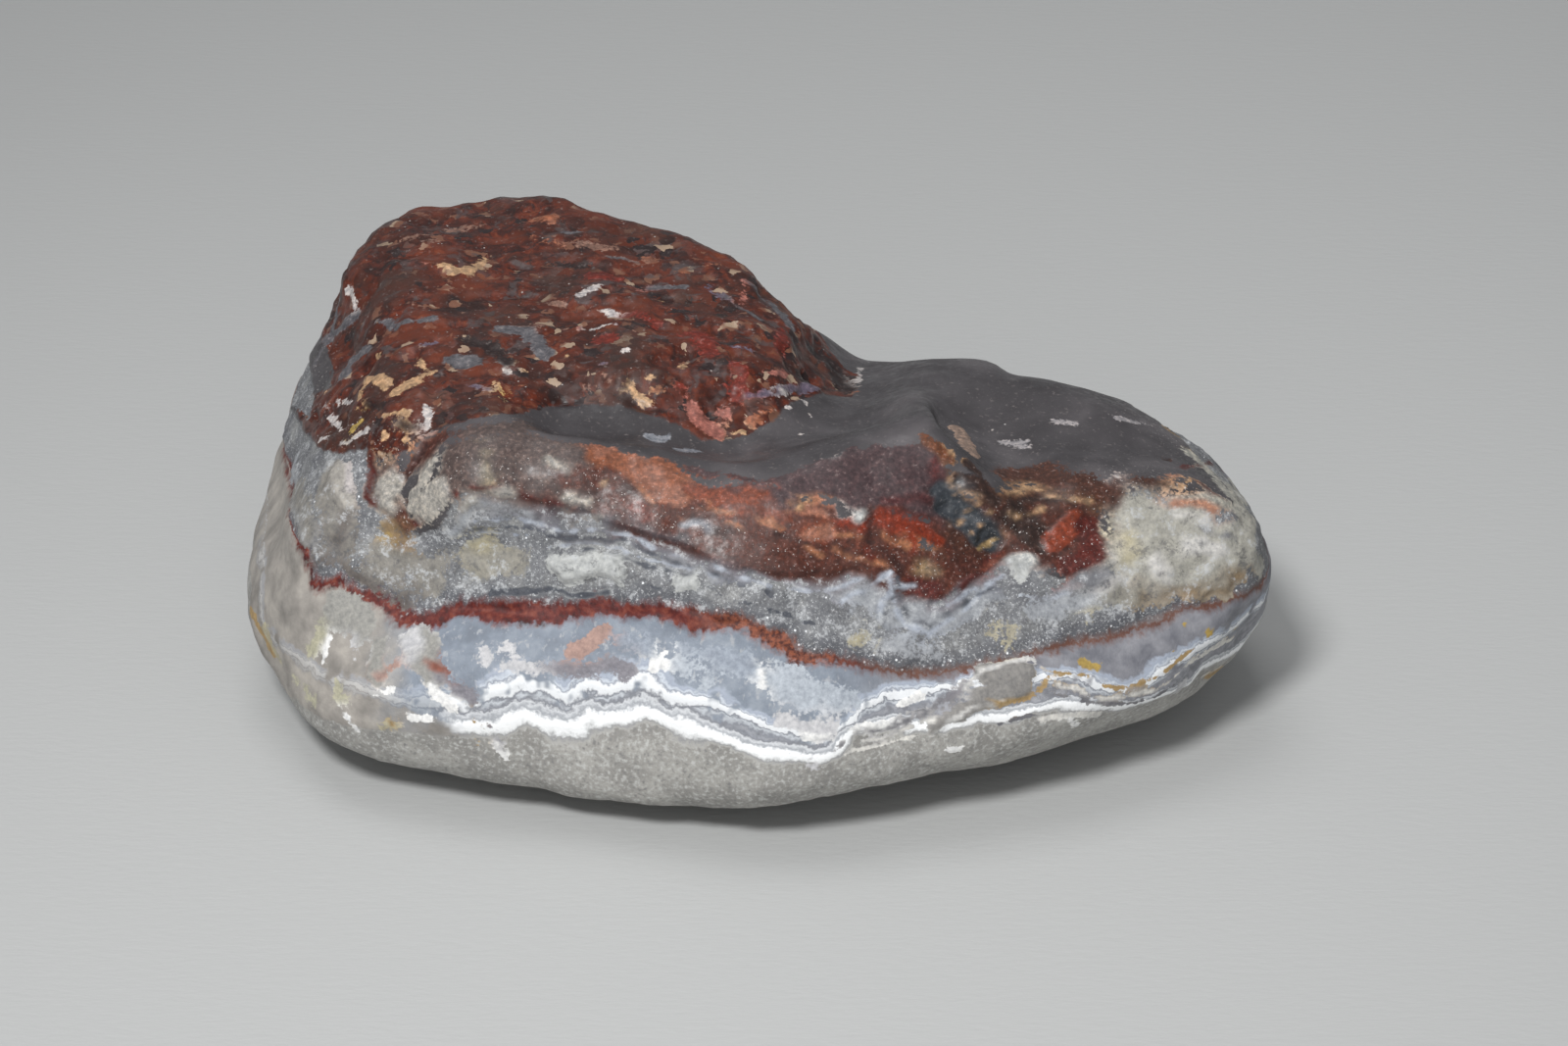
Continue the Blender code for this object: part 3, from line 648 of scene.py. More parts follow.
# Single colours, the same way
SHADES = {
    "vein": (38, 27, 27),
    "crumb": (112, 76, 60),
    "pale crumb": (156, 134, 114),
    "ashen clot": (76, 68, 68),
    "jasper pit": (40, 28, 28),
    "brown patch": (62, 44, 38),
    "red patch": (116, 54, 30),
    "jasper speck": (160, 152, 148),
    "smoke speck": (170, 168, 166),
    "dark hem": (84, 85, 90),
    "frost grain": (180, 181, 182),
    "frost gap": (88, 89, 94),
    "bright grain": (216, 218, 220),
    # painted glints: near-white specks on the frosted quartz that stand in for the sparkle of its grains
    "painted frost glint": (232, 234, 236),
    "hanging milk": (155, 158, 163),
    "dark between lace": (112, 113, 118),
    "pale between lace": (150, 151, 156),
    "base": (136, 134, 130),
    "pale base": (158, 156, 151),
    "base grain": (182, 182, 179),
    "base gap": (124, 123, 122),
    "mid rust": (72, 36, 30),
    "mid orange rust": (134, 76, 54),
    "right rust": (70, 44, 40),
    "right pale rust": (120, 84, 70),
    "sugar": (184, 186, 188),
    "sugar gap": (84, 83, 85),
    "dust": (206, 200, 196),
    "grey bloom": (170, 160, 156),
}

# Where the looks change along the stone, as (from, to) in mm to the right of its middle
LEFT_END = (-14.0, -11.5)
RIGHT_THIRD = (2.5, 6.0)
LACE_BEGINS = (-11.6, -10.2)
LACE_WIDENS = (-13.0, -10.5)
LACE_NARROWS = (-3.5, -0.5)
LACE_THIN = (0.5, 2.5)
SEAM_WIDENS = (-16.0, -12.5)
SEAM_NARROWS = (-2.0, 5.0)
SEAM_ORANGE = (-1.5, 3.0)
SEAM_DULL = (2.5, 5.0)

# Half widths in mm of the lace and of the seam, at the left end, in their wide middle and to the right
LACE_WIDTHS = (0.4, 0.95, 0.6, 0.5)
SEAM_WIDTHS = (0.08, 0.26, 0.05)

# How matt the quartz is, and how matt the polished cap is from its glossiest to its dullest spots
QUARTZ_ROUGHNESS = 0.6
CAP_ROUGHNESS = (0.34, 0.56)
SPECULAR = 0.4
BUMP_HEIGHT = 0.00004
BUMP_STRENGTH = 0.7

# The floor: its colour, and the low waves of its surface as waves to the metre along X and Y
FLOOR_HALF_SIZE = 2.0
FLOOR_COLOUR = (0.45, 0.455, 0.45, 1.0)
FLOOR_ROUGHNESS = 0.6
FLOOR_WAVES = (1400.0, 4000.0, 1.0)
FLOOR_BUMP_HEIGHT = 0.00003
FLOOR_BUMP_STRENGTH = 0.5

# The lights: places in metres and powers in watts
KEY_PLACE = (-0.07, -0.19, 0.26)
KEY_TARGET = (0.0, -0.016, 0.0)
KEY_RADIUS = 0.035
KEY_SPREAD = 32.0
KEY_POWER = 3.7
SOFT_LIGHTS = (
    ("fill", (0.0, -0.5, 0.13), 0.3, 0.5),
    ("top", (-0.05, 0.1, 0.4), 0.2, 0.35),
)
SURROUND_COLOUR = (0.95, 0.97, 1.0, 1.0)
SURROUND_STRENGTH = 0.3


def geodesic_sphere(splits):
    """Unit directions and triangles of an icosahedron with each edge split into equal parts."""
    gold = (1.0 + math.sqrt(5.0)) / 2.0
    corners = []
    for short in (-1.0, 1.0):
        for long in (-gold, gold):
            corners += [(short, long, 0.0), (0.0, short, long), (long, 0.0, short)]
    corners = np.array(corners)
    gaps = np.linalg.norm(corners[:, None] - corners[None], axis=2)
    near = np.abs(gaps - 2.0) < 1e-6
    faces = []
    for a in range(12):
        for b in range(a + 1, 12):
            for c in range(b + 1, 12):
                if near[a, b] and near[b, c] and near[a, c]:
                    outward = np.dot(np.cross(corners[b] - corners[a], corners[c] - corners[a]), corners[a])
                    faces.append((a, b, c) if outward > 0.0 else (a, c, b))
    rows, columns = np.meshgrid(np.arange(splits + 1), np.arange(splits + 1), indexing="ij")
    kept = rows + columns <= splits
    number = np.full(kept.shape, -1)
    number[kept] = np.arange(kept.sum())
    i, j = rows[kept], columns[kept]
    up = (i + j) < splits
    down = (i + j) < splits - 1
    small = [np.stack([number[i[up], j[up]], number[i[up] + 1, j[up]], number[i[up], j[up] + 1]], 1)]
    small.append(np.stack([number[i[down] + 1, j[down]], number[i[down] + 1, j[down] + 1],
                           number[i[down], j[down] + 1]], 1))
    small = np.concatenate(small)
    points, triangles = [], []
    for a, b, c in faces:
        share_b, share_c = i[:, None] / splits, j[:, None] / splits
        triangles.append(small + len(points) * kept.sum())
        points.append(corners[a] * (1.0 - share_b - share_c) + corners[b] * share_b + corners[c] * share_c)
    points = np.concatenate(points)
    triangles = np.concatenate(triangles)
    _, first, same = np.unique(np.round(points, 6), axis=0, return_index=True, return_inverse=True)
    points = points[first]
    triangles = same.reshape(-1)[triangles]
    return points / np.linalg.norm(points, axis=1, keepdims=True), triangles


def normal_of(azimuth, elevation):
    """The unit vector that points at this azimuth and elevation, given in degrees."""
    a, e = math.radians(azimuth), math.radians(elevation)
    return np.array((math.cos(e) * math.cos(a), math.cos(e) * math.sin(a), math.sin(e)))


def blend_max(values, width):
    """The largest of the values, with the corners between them rounded off."""
    top = np.maximum.reduce(values)
    return top + width * np.log(sum(np.exp((value - top) / width) for value in values))


def blend_min(values, width):
    """The smallest of the values, with the corners between them filled."""
    return -blend_max([-value for value in values], width)


def worn_faces(points, faces, width):
    """Signed distance to the solid that these worn faces enclose."""
    offsets = points - np.array(HEART)
    return blend_max([offsets @ normal_of(azimuth, elevation) - distance
                      for _, azimuth, elevation, distance in faces], width)


def ellipsoid(points, centre, radii):
    """Roughly the signed distance to an ellipsoid."""
    scaled = np.linalg.norm((points - np.array(centre)) / np.array(radii), axis=1)
    return (scaled - 1.0) * min(radii)


def tapered_groove(points, start, end, start_radius, end_radius):
    """Signed distance to a round-ended groove cutter between two points."""
    start, end = np.array(start), np.array(end)
    run = end - start
    share = np.clip((points - start) @ run / (run @ run), 0.0, 1.0)
    radius = start_radius + (end_radius - start_radius) * share
    return np.linalg.norm(points - start - share[:, None] * run, axis=1) - radius


def stone_field(points):
    """Below zero inside the stone, above zero outside it."""
    groups = ((TOP, EDGE), (HUMP, EDGE), (NOSE, NOSE_EDGE))
    top = blend_min([worn_faces(points, faces, width) for faces, width in groups], TOP_BLEND)
    form = blend_max([worn_faces(points, SIDES, EDGE), top], EDGE)
    lumps = [ellipsoid(points, centre, radii) for _, centre, radii in LUMPS]
    form = blend_min([form] + lumps, LUMP_BLEND)
    for _, start, end, start_radius, end_radius in HOLLOWS:
        cutter = tapered_groove(points, start, end, start_radius, end_radius)
        form = blend_max([form, -cutter], HOLLOW_BLEND)
    bowl = ellipsoid(points, BOWL_CENTRE, BOWL_SIZE)
    below = points[:, 2] < BOWL_CENTRE[2]
    return np.where(below, blend_max([form, bowl], EDGE), form)


def lattice_noise(points, size, seed):
    """Smooth noise between -1 and 1 whose swells are about this size."""
    scaled = points / size
    cell = np.floor(scaled).astype(np.int64)
    part = scaled - cell
    ease = part * part * part * (part * (part * 6.0 - 15.0) + 10.0)
    total = np.zeros(len(points))
    for corner in np.ndindex(2, 2, 2):
        at = cell + np.array(corner)
        code = sum(at[:, axis] * HASH_AXES[axis] for axis in range(3)) + seed * HASH_SEED
        code = (code ^ (code >> 13)) * HASH_STIR & HASH_MASK
        value = ((code ^ (code >> 16)) % HASH_LEVELS) / (HASH_LEVELS // 2) - 1.0
        share = np.prod(np.where(np.array(corner) == 1, ease, 1.0 - ease), axis=1)
        total += value * share
    return total


def seam_groove(surface):
    """The depth of the groove along the seam at these points."""
    azimuth = np.degrees(np.arctan2(surface[:, 1] - HEART[1], surface[:, 0] - HEART[0])) % 360.0
    heights = np.array(SEAM_HEIGHTS)
    off = surface[:, 2] - np.interp(azimuth, heights[:, 0], heights[:, 1], period=360.0)
    return SEAM_DEPTH * np.exp(-(off / SEAM_WIDTH) ** 2)


def raw_surface(directions):
    """The stone's surface along these directions from its heart, before the outline eases it."""
    rays = directions * np.array(ROUGH_HALF_SIZE)
    rays /= np.linalg.norm(rays, axis=1, keepdims=True)
    heart = np.array(HEART)
    inner = np.full(len(rays), SEARCH_FROM)
    outer = np.full(len(rays), SEARCH_TO)
    for _ in range(HALVINGS):
        middle = 0.5 * (inner + outer)
        outside = stone_field(heart + rays * middle[:, None]) > 0.0
        outer = np.where(outside, middle, outer)
        inner = np.where(outside, inner, middle)
    surface = heart + rays * inner[:, None]
    surface -= rays * seam_groove(surface)[:, None]
    for size, height, seed in SWELLS:
        surface += rays * (height * lattice_noise(surface, size, seed))[:, None]
    return surface


def view_axes():
    """The unit vectors from the picture's middle back to the camera, and up in the picture."""
    tilt = math.radians(VIEW_ELEVATION)
    return np.array((0.0, -math.cos(tilt), math.sin(tilt))), np.array((0.0, math.sin(tilt), math.cos(tilt)))


def camera_place():
    """Where the camera stands, in mm."""
    return np.array(VIEW_TARGET) + view_axes()[0] * VIEW_DISTANCE


def seen_from_camera(points):
    """The pixels that the points are seen in, and millimetres per pixel there."""
    back, up = view_axes()
    camera = camera_place()
    scale = VIEW_MM_PER_PX * ((camera - points) @ back) / VIEW_DISTANCE
    across = VIEW_WIDTH_PX / 2.0 + (points - camera)[:, 0] / scale
    down = VIEW_HEIGHT_PX / 2.0 - (points - camera) @ up / scale
    return across, down, scale


def ring_average(values, reach):
    """A running mean along a closed ring."""
    return sum(np.roll(values, shift) for shift in range(-reach, reach + 1)) / (2 * reach + 1)


def even_angles():
    """The middle angles of the outline's equal parts."""
    return (np.arange(OUTLINE_BINS) + 0.5) / OUTLINE_BINS * FULL_TURN


def round_the_heart(x, y):
    """Pixels as angles round the heart's pixel, distances from it, and offsets to the right and up."""
    middle_x, middle_y, _ = seen_from_camera(np.array([HEART]))
    right, rise = x - middle_x, middle_y - y
    return np.arctan2(rise, right) % FULL_TURN, np.hypot(right, rise), right, rise


def outline_gap():
    """How far the stone's outline lies outside the raw form's, in pixels, at even angles."""
    directions, _ = geodesic_sphere(OUTLINE_SPLITS)
    x, y, _ = seen_from_camera(raw_surface(directions))
    angle, radius, _, _ = round_the_heart(x, y)
    bins = (angle / FULL_TURN * OUTLINE_BINS).astype(int) % OUTLINE_BINS
    raw = np.zeros(OUTLINE_BINS)
    np.maximum.at(raw, bins, radius)
    corner_angle, corner_radius, _, _ = round_the_heart(*np.array(OUTLINE_PX, dtype=float).T)
    order = np.argsort(corner_angle)
    wanted = np.interp(even_angles(), corner_angle[order], corner_radius[order], period=FULL_TURN)
    return ring_average(wanted - raw, OUTLINE_SMOOTHING), ring_average(raw, OUTLINE_SMOOTHING)


def ease_to_outline(surface):
    """Move the surface sideways, most at the rim, until its outline is the stone's."""
    gap, raw = outline_gap()
    x, y, scale = seen_from_camera(surface)
    angle, radius, right, rise = round_the_heart(x, y)
    gap_here = np.interp(angle, even_angles(), gap, period=FULL_TURN)
    raw_here = np.interp(angle, even_angles(), raw, period=FULL_TURN)
    shift = gap_here * np.clip(radius / raw_here, 0.0, EASING_LIMIT) ** 2 * scale / np.maximum(radius, 1.0)
    up = view_axes()[1]
    return surface + np.array((1.0, 0.0, 0.0)) * (right * shift)[:, None] + up * (rise * shift)[:, None]


def settling():
    """The shift and the scale that set the raw form down as the solid is, its low side worn flat."""
    directions, _ = geodesic_sphere(SOLID_SPLITS)
    surface = ease_to_outline(raw_surface(directions))
    low, high = surface.min(axis=0), surface.max(axis=0)
    centre = 0.5 * (low + high)
    solid_low, solid_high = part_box(NODE)
    shift = np.array((-centre[0], -centre[1], -low[2] - REST_WEAR))
    return shift, (solid_high[0] - solid_low[0]) / (high[0] - low[0])


SHIFT, SCALE = settling()


def set_down(points):
    """Points round the heart in mm, as points of the finished model in metres."""
    return (np.asarray(points, dtype=float) + SHIFT) * SCALE


def skin():
    """The fine skin's points in mm and its triangles, its points crowded towards the side that shows."""
    directions, triangles = geodesic_sphere(SKIN_SPLITS)
    crowd = np.array(CROWD_TOWARDS) / np.linalg.norm(CROWD_TOWARDS)
    directions = directions + CROWD * crowd
    directions /= np.linalg.norm(directions, axis=1, keepdims=True)
    return ease_to_outline(raw_surface(directions)), triangles


def sight_line(pixel):
    """The direction, in mm from the camera's place, that it sees this pixel in."""
    across = (pixel[0] - VIEW_WIDTH_PX / 2.0) * VIEW_MM_PER_PX * np.array((1.0, 0.0, 0.0))
    rise = (VIEW_HEIGHT_PX / 2.0 - pixel[1]) * VIEW_MM_PER_PX * view_axes()[1]
    return np.array(VIEW_TARGET) + across + rise - camera_place()


def laid(tree, pixels):
    """Where the sight lines of these pixels meet the skin; one that misses moves in until it meets it."""
    middle = np.concatenate(seen_from_camera(np.array([HEART]))[:2])
    eye = Vector(camera_place())
    spots = []
    for pixel in np.asarray(pixels, dtype=float):
        hit = None
        while hit is None:
            hit = tree.ray_cast(eye, Vector(sight_line(pixel)))[0]
            inward = middle - pixel
            pixel = pixel + inward / np.linalg.norm(inward) * MISS_STEP_PX
        spots.append(tuple(hit))
    return np.array(spots)


def hidden(tree, points):
    """The skin's points at these azimuths and heights."""
    spots = []
    for azimuth, height in points:
        way = Vector(normal_of(azimuth, 0.0))
        spots.append(tuple(tree.ray_cast(Vector((HEART[0], HEART[1], height)), way)[0]))
    return np.array(spots)


def dense(pixels):
    """The pixels of a line, with more between them so that no gap is longer than the step."""
    out = []
    for start, end in zip(pixels[:-1], pixels[1:]):
        count = max(1, math.ceil(math.dist(start, end) / LINE_STEP_PX))
        out += [np.array(start) + (np.array(end) - np.array(start)) * i / count for i in range(count)]
    return np.array(out + [np.array(pixels[-1])])


def line_distance(points, line, reach):
    """Distance in mm from the points to a line of points, or the reach where it is further."""
    near = np.full(len(points), reach)
    if len(line) == 1:
        return np.minimum(near, np.linalg.norm(points - line[0], axis=1))
    for start, end in zip(line[:-1], line[1:]):
        middle, half = 0.5 * (start + end), 0.5 * np.linalg.norm(end - start)
        close = np.flatnonzero(np.linalg.norm(points - middle, axis=1) < half + near)
        run = end - start
        share = np.clip((points[close] - start) @ run / max(run @ run, TINY), 0.0, 1.0)
        gap = np.linalg.norm(points[close] - start - share[:, None] * run, axis=1)
        near[close] = np.minimum(near[close], gap)
    return near


def charted(points):
    """The points on a flat round chart whose middle is straight above the heart."""
    ways = (points - np.array(HEART)) / np.array(ROUGH_HALF_SIZE)
    ways /= np.linalg.norm(ways, axis=1, keepdims=True)
    fall = np.arccos(np.clip(ways[:, 2], -1.0, 1.0))
    turn = np.arctan2(ways[:, 1], ways[:, 0])
    return np.stack([fall * np.cos(turn), fall * np.sin(turn)], 1)


def inside(points, ring):
    """Which points of the chart lie inside a closed ring of it."""
    count = np.zeros(len(points), dtype=int)
    for (ax, ay), (bx, by) in zip(ring, np.roll(ring, -1, axis=0)):
        crosses = (ay > points[:, 1]) != (by > points[:, 1])
        at = ax + (points[:, 1] - ay) * (bx - ax) / (by - ay if by != ay else TINY)
        count += crosses & (points[:, 0] < at)
    return count % 2 == 1


def ring_distance(points, tree, ring):
    """Signed distance in mm to a ring round the stone, above zero on its upper side."""
    seen, behind = ring
    line = np.concatenate([laid(tree, dense(seen)), hidden(tree, behind)])
    closed = np.concatenate([line, line[:1]])
    within = inside(charted(points), charted(line))
    return np.where(within, 1.0, -1.0) * line_distance(points, closed, RING_REACH)


def stroke_distance(points, tree, strokes):
    """How deep in mm the points lie inside the nearest of these strokes, below zero outside them."""
    depth = np.full(len(points), -STROKE_REACH)
    for width, *pixels in strokes:
        half = width * VIEW_MM_PER_PX
        line = laid(tree, dense(pixels))
        depth = np.maximum(depth, half - line_distance(points, line, STROKE_REACH + half))
    return depth


def painted(points, triangles):
    """Every mark as signed distances on the skin's points, by name; soft marks are torn more."""
    tree = BVHTree.FromPolygons(points.tolist(), triangles.tolist())
    marks = {name: ring_distance(points, tree, ring) for name, ring in RINGS.items()}
    push = np.stack([sum(reach * lattice_noise(points, size, seed + axis) for reach, size, seed in TEARS)
                     for axis in range(3)], 1)
    for name, _, soft, strokes in PAINTS:
        torn = points + push * min(1.0, TEAR_PER_SOFTNESS * soft)
        marks[name] = stroke_distance(torn, tree, strokes)
    return marks


def colour(red, green, blue):
    """A colour given as it looks on a screen, from 0 to 255, as the shader wants it."""
    return tuple((part / 255.0) ** 2.2 for part in (red, green, blue)) + (1.0,)


def eased(values, low, high):
    """Zero below low, one above high, and a smooth rise between them."""
    share = np.clip((values - low) / (high - low), 0.0, 1.0)
    return share * share * (3.0 - 2.0 * share)


def coated(points, marks):
    """The patches painted over each other: each point's colour, and how much of it covers the stone."""
    coat = np.zeros((len(points), 4))
    cover = np.zeros(len(points))
    height, size, seed = EDGE_GRAIN
    grain = height * lattice_noise(points, size, seed)
    for name, shade, soft, _ in PAINTS:
        depth = marks[name] + grain
        own = eased(depth, -soft, soft)
        beyond = eased(depth, -soft - RUN_ON[0], -soft - RUN_ON[1]) * (1.0 - cover)
        share = np.maximum(own, beyond)[:, None]
        coat = coat * (1.0 - share) + np.array(colour(*shade)) * share
        cover = 1.0 - (1.0 - cover) * (1.0 - own)
    return coat, cover


def normals_of(points, triangles):
    """The skin's outward normals at its points."""
    corners = points[triangles]
    faces = np.cross(corners[:, 1] - corners[:, 0], corners[:, 2] - corners[:, 0])
    normals = np.zeros_like(points)
    for corner in range(3):
        np.add.at(normals, triangles[:, corner], faces)
    return normals / np.linalg.norm(normals, axis=1, keepdims=True)


def swelling(distance, height, half_width):
    """A rounded ridge along a line, from the signed distance to it."""
    return height * np.exp(-(distance / half_width) ** 2)


def relief(points, marks):
    """The fine relief of the skin in mm along its normals."""
    noises = [lattice_noise(points, size, seed) for size, seed in RELIEF_NOISES]
    coarse, middle, grains = noises
    seam = marks["seam"]
    above = eased(marks["cap"] + CAP_FRAY * middle, *CAP_EDGE)
    jasper = above * eased(marks["jasper"], *JASPER_EDGE)
    frosted = (1.0 - above) * eased(seam, *FROST_EDGE)
    below = 1.0 - eased(seam, *BASE_EDGE)
    zones = ((jasper, JASPER_KNOBS), (above * (1.0 - jasper), POLISH_WAVES), (frosted, FROST_GRAINS),
             (below, BASE_GRAINS))
    height = sum(zone * sum(part * noise for part, noise in zip(parts, noises)) for zone, parts in zones)
    height -= jasper * JASPER_PIT_DEPTH * eased(lattice_noise(points, *JASPER_PITS), *PIT_EDGE)
    height += CAP_RISE * above - FROST_FALL * frosted
    height -= swelling(seam + SEAM_FRAY * middle, *SEAM_FALL) * (SEAM_SHARES[0] + SEAM_SHARES[1] * coarse)
    height += swelling(marks["lower lace"], *LOWER_LACE_RISE)
    height += swelling(marks["upper lace"], *UPPER_LACE_RISE)
    uneven = ROUGH_SHARES[0] * middle + ROUGH_SHARES[1] * grains
    for name, raised, rough, soft in RAISED:
        height += eased(marks[name], -0.5 * soft, soft) * (raised + rough * uneven)
    return height


class Tree:
    """Short calls for the nodes of one material; each gives back the socket with its result."""

    def __init__(self, name):
        self.material = bpy.data.materials.new(name)
        self.material.use_nodes = True
        self.nodes = self.material.node_tree.nodes
        self.shader = self.nodes["Principled BSDF"]
        self.metres = self.node("TexCoord").outputs["Object"]
        self.place = self.vector("SCALE", self.metres, 1.0 / SCALE)

    def node(self, kind, **inputs):
        """A new node, with these inputs linked or set."""
        node = self.nodes.new("ShaderNode" + kind)
        for name, value in inputs.items():
            self.feed(node.inputs[name], value)
        return node

    def feed(self, socket, value):
        """Link a socket, or set its value."""
        if isinstance(value, bpy.types.NodeSocket):
            self.material.node_tree.links.new(value, socket)
        else:
            socket.default_value = value

    def vector(self, operation, first, second):
        node = self.node("VectorMath")
        node.operation = operation
        self.feed(node.inputs[0], first)
        self.feed(node.inputs["Scale"] if operation == "SCALE" else node.inputs[1], second)
        return node.outputs[0]

    def maths(self, operation, first, second=0.0, third=0.0):
        node = self.node("Math")
        node.operation = operation
        for socket, value in zip(node.inputs, (first, second, third)):
            self.feed(socket, value)
        return node.outputs[0]

    def times(self, first, second):
        return self.maths("MULTIPLY", first, second)

    def stored(self, name):
        """The node of an attribute that the skin carries."""
        node = self.node("Attribute")
        node.attribute_name = name
        return node

    def mark(self, name):
        """A mark's signed distance in mm."""
        return self.stored(name).outputs["Fac"]

    def noise(self, size, detail=2.0, rough=0.5, stretch=0.0, place=None):
        """Noise from 0 to 1 whose spots are about this size in mm."""
        return self.node("TexNoise", Vector=place or self.place, Scale=1.0 / size, Detail=detail,
                         Roughness=rough, Distortion=stretch).outputs["Fac"]

    def cells(self, size, place):
        """Cells round points that are strewn about this far apart in mm."""
        return self.node("TexVoronoi", Vector=place, Scale=1.0 / size)

    def part(self, socket, number):
        """One part of a colour."""
        return self.node("SeparateColor", Color=socket).outputs[number]

    def edges(self, size, place):
        """Distance to the nearest edge between such cells."""
        node = self.cells(size, place)
        node.feature = "DISTANCE_TO_EDGE"
        return node.outputs["Distance"]

    def clumps(self, size, place):
        """One random number for each of the clumps of this size in mm."""
        return self.part(self.cells(size, place).outputs["Color"], 0)

    def specks(self, size, share, radius):
        """Small round specks about this far apart in mm, on this share of the places."""
        cell = self.cells(size, self.place)
        near = self.step(cell.outputs["Distance"], radius / size, 0.5 * radius / size)
        return self.times(near, self.maths("LESS_THAN", self.part(cell.outputs["Color"], 1), share))

    def step(self, value, low, high, to_low=0.0, to_high=1.0):
        """Eases from one value to another while the input goes from low to high."""
        node = self.node("MapRange")
        node.interpolation_type = "SMOOTHSTEP"
        for socket, number in zip(node.inputs, (value, low, high, to_low, to_high)):
            self.feed(socket, number)
        return node.outputs["Result"]

    def band(self, value, low, high, soft):
        """One between low and high, and zero outside them."""
        rise = self.step(value, low - soft, low + soft)
        fall = self.step(value, high - soft, high + soft)
        return self.maths("SUBTRACT", rise, fall)

    def mix(self, share, first, second, kind="MIX"):
        """Two colours mixed by a share; a name stands for one of the single colours."""
        node = self.node("Mix")
        node.data_type = "RGBA"
        node.blend_type = kind
        self.feed(node.inputs[0], share)
        for socket, value in ((node.inputs[6], first), (node.inputs[7], second)):
            self.feed(socket, colour(*SHADES[value]) if isinstance(value, str) else value)
        return node.outputs[2]

    def blend(self, share, first, second):
        """Two numbers mixed by a share."""
        node = self.node("Mix")
        for number, value in ((0, share), (2, first), (3, second)):
            self.feed(node.inputs[number], value)
        return node.outputs[0]

    def factors(self, value, stops):
        """A ramp with stops of (place, three plain factors)."""
        node = self.node("ValToRGB")
        self.feed(node.inputs[0], value)
        while len(node.color_ramp.elements) < len(stops):
            node.color_ramp.elements.new(0.5)
        for element, (place, parts) in zip(node.color_ramp.elements, stops):
            element.position = place
            element.color = tuple(parts)[:3] + (1.0,)
        return node.outputs["Color"]

    def ramp(self, value, stops):
        """A colour ramp with stops of (place, colour)."""
        return self.factors(value, [(place, colour(*shade)) for place, shade in stops])

    def strata(self, distance, stops):
        """Layers side by side, with stops of (distance, colour) from the lowest up."""
        low, high = stops[0][0], stops[-1][0]
        share = self.maths("MULTIPLY_ADD", distance, 1.0 / (high - low), -low / (high - low))
        return self.ramp(share, [((place - low) / (high - low), shade) for place, shade in stops])

    def warped(self, amount, size):
        """The place, pushed about by noise up to this amount in mm."""
        push = self.node("TexNoise", Vector=self.place, Scale=1.0 / size).outputs["Color"]
        push = self.vector("SCALE", self.vector("SUBTRACT", push, (0.5, 0.5, 0.5)), 2.0 * amount)
        return self.vector("ADD", self.place, push)

    def frayed(self, distance, noise, amount):
        """A signed distance whose edge wanders by this amount in mm either way."""
        return self.maths("MULTIPLY_ADD", self.maths("SUBTRACT", noise, 0.5), 2.0 * amount, distance)

    def bump(self, height, depth, strength):
        """Bumps in the shading, as deep as this in metres where the height is one."""
        node = self.node("Bump", Height=height, Distance=depth, Strength=strength)
        self.feed(self.shader.inputs["Normal"], node.outputs["Normal"])


class Layers:
    """The noises and the layers' distances that the parts of the stone's look share."""

    def __init__(self, t):
        self.wander = t.noise(1.3, 3.0, 0.55)
        self.fray = t.noise(0.4, 4.0, 0.65)
        self.fine = t.noise(0.16, 3.0, 0.6)
        self.hanging = t.noise(0.22, 2.0, 0.6, 0.0, t.vector("MULTIPLY", t.place, (1.0, 1.0, 0.3)))
        self.along = t.node("SeparateXYZ", Vector=t.place).outputs["X"]
        self.seam_mark = t.mark("seam")
        self.cap = self.torn(t, "cap", (self.fray, 0.2), (self.wander, 0.1), (self.fine, 0.08))
        self.seam = self.torn(t, "seam", (self.fray, 0.16), (self.wander, 0.12))
        bend = t.noise(0.8, 3.0, 0.6)
        self.upper = self.torn(t, "upper lace", (bend, 0.3), (self.fray, 0.08))
        self.lower = self.torn(t, "lower lace", (bend, 0.16), (self.wander, 0.1))
        self.polished = t.step(self.cap, -0.1, 0.1)
        self.beige = t.ramp(t.noise(1.1, 3.0, 0.6), BEIGE_BAND)

    def torn(self, t, name, *frays):
        """A mark's distance, frayed by these noises."""
        distance = t.mark(name)
        for noise, amount in frays:
            distance = t.frayed(distance, noise, amount)
        return distance


def jasper_colour(t):
    """Dark red jasper: clots of red and brown, smoky gaps, darker veins and pale crumbs."""
    torn = t.warped(0.55, 0.8)
    flow = t.ramp(t.noise(0.8, 4.0, 0.65, 0.8), JASPER_FLOW)
    base = t.mix(t.step(t.noise(2.2, 3.0, 0.6), 0.36, 0.60), t.ramp(t.clumps(1.25, torn), JASPER_CLOTS), flow)
    vein = t.step(t.edges(0.9, torn), 0.07, 0.0)
    base = t.mix(t.times(vein, t.step(t.noise(0.7), 0.4, 0.6, 0.0, 0.7)), base, "vein")
    crumb = t.clumps(0.42, t.warped(0.3, 0.35))
    crowded = t.maths("ADD", crumb, t.step(t.noise(1.9, 2.0, 0.6), 0.35, 0.70, 0.0, 0.10))
    large = t.noise(3.2, 3.0, 0.6)
    for share, name in (
        (t.step(crowded, 0.955, 0.985), "crumb"),
        (t.step(crowded, 1.01, 1.03), "pale crumb"),
        (t.step(t.noise(1.3, 3.0, 0.6, 0.4), 0.60, 0.66, 0.0, 0.75), "ashen clot"),
        (t.step(crumb, 0.09, 0.04), "jasper pit"),
        (t.step(large, 0.52, 0.66, 0.0, 0.6), "brown patch"),
        (t.step(large, 0.46, 0.34, 0.0, 0.45), "red patch"),
        (t.specks(0.3, 0.14, 0.045), "jasper speck"),
    ):
        base = t.mix(share, base, name)
    return base


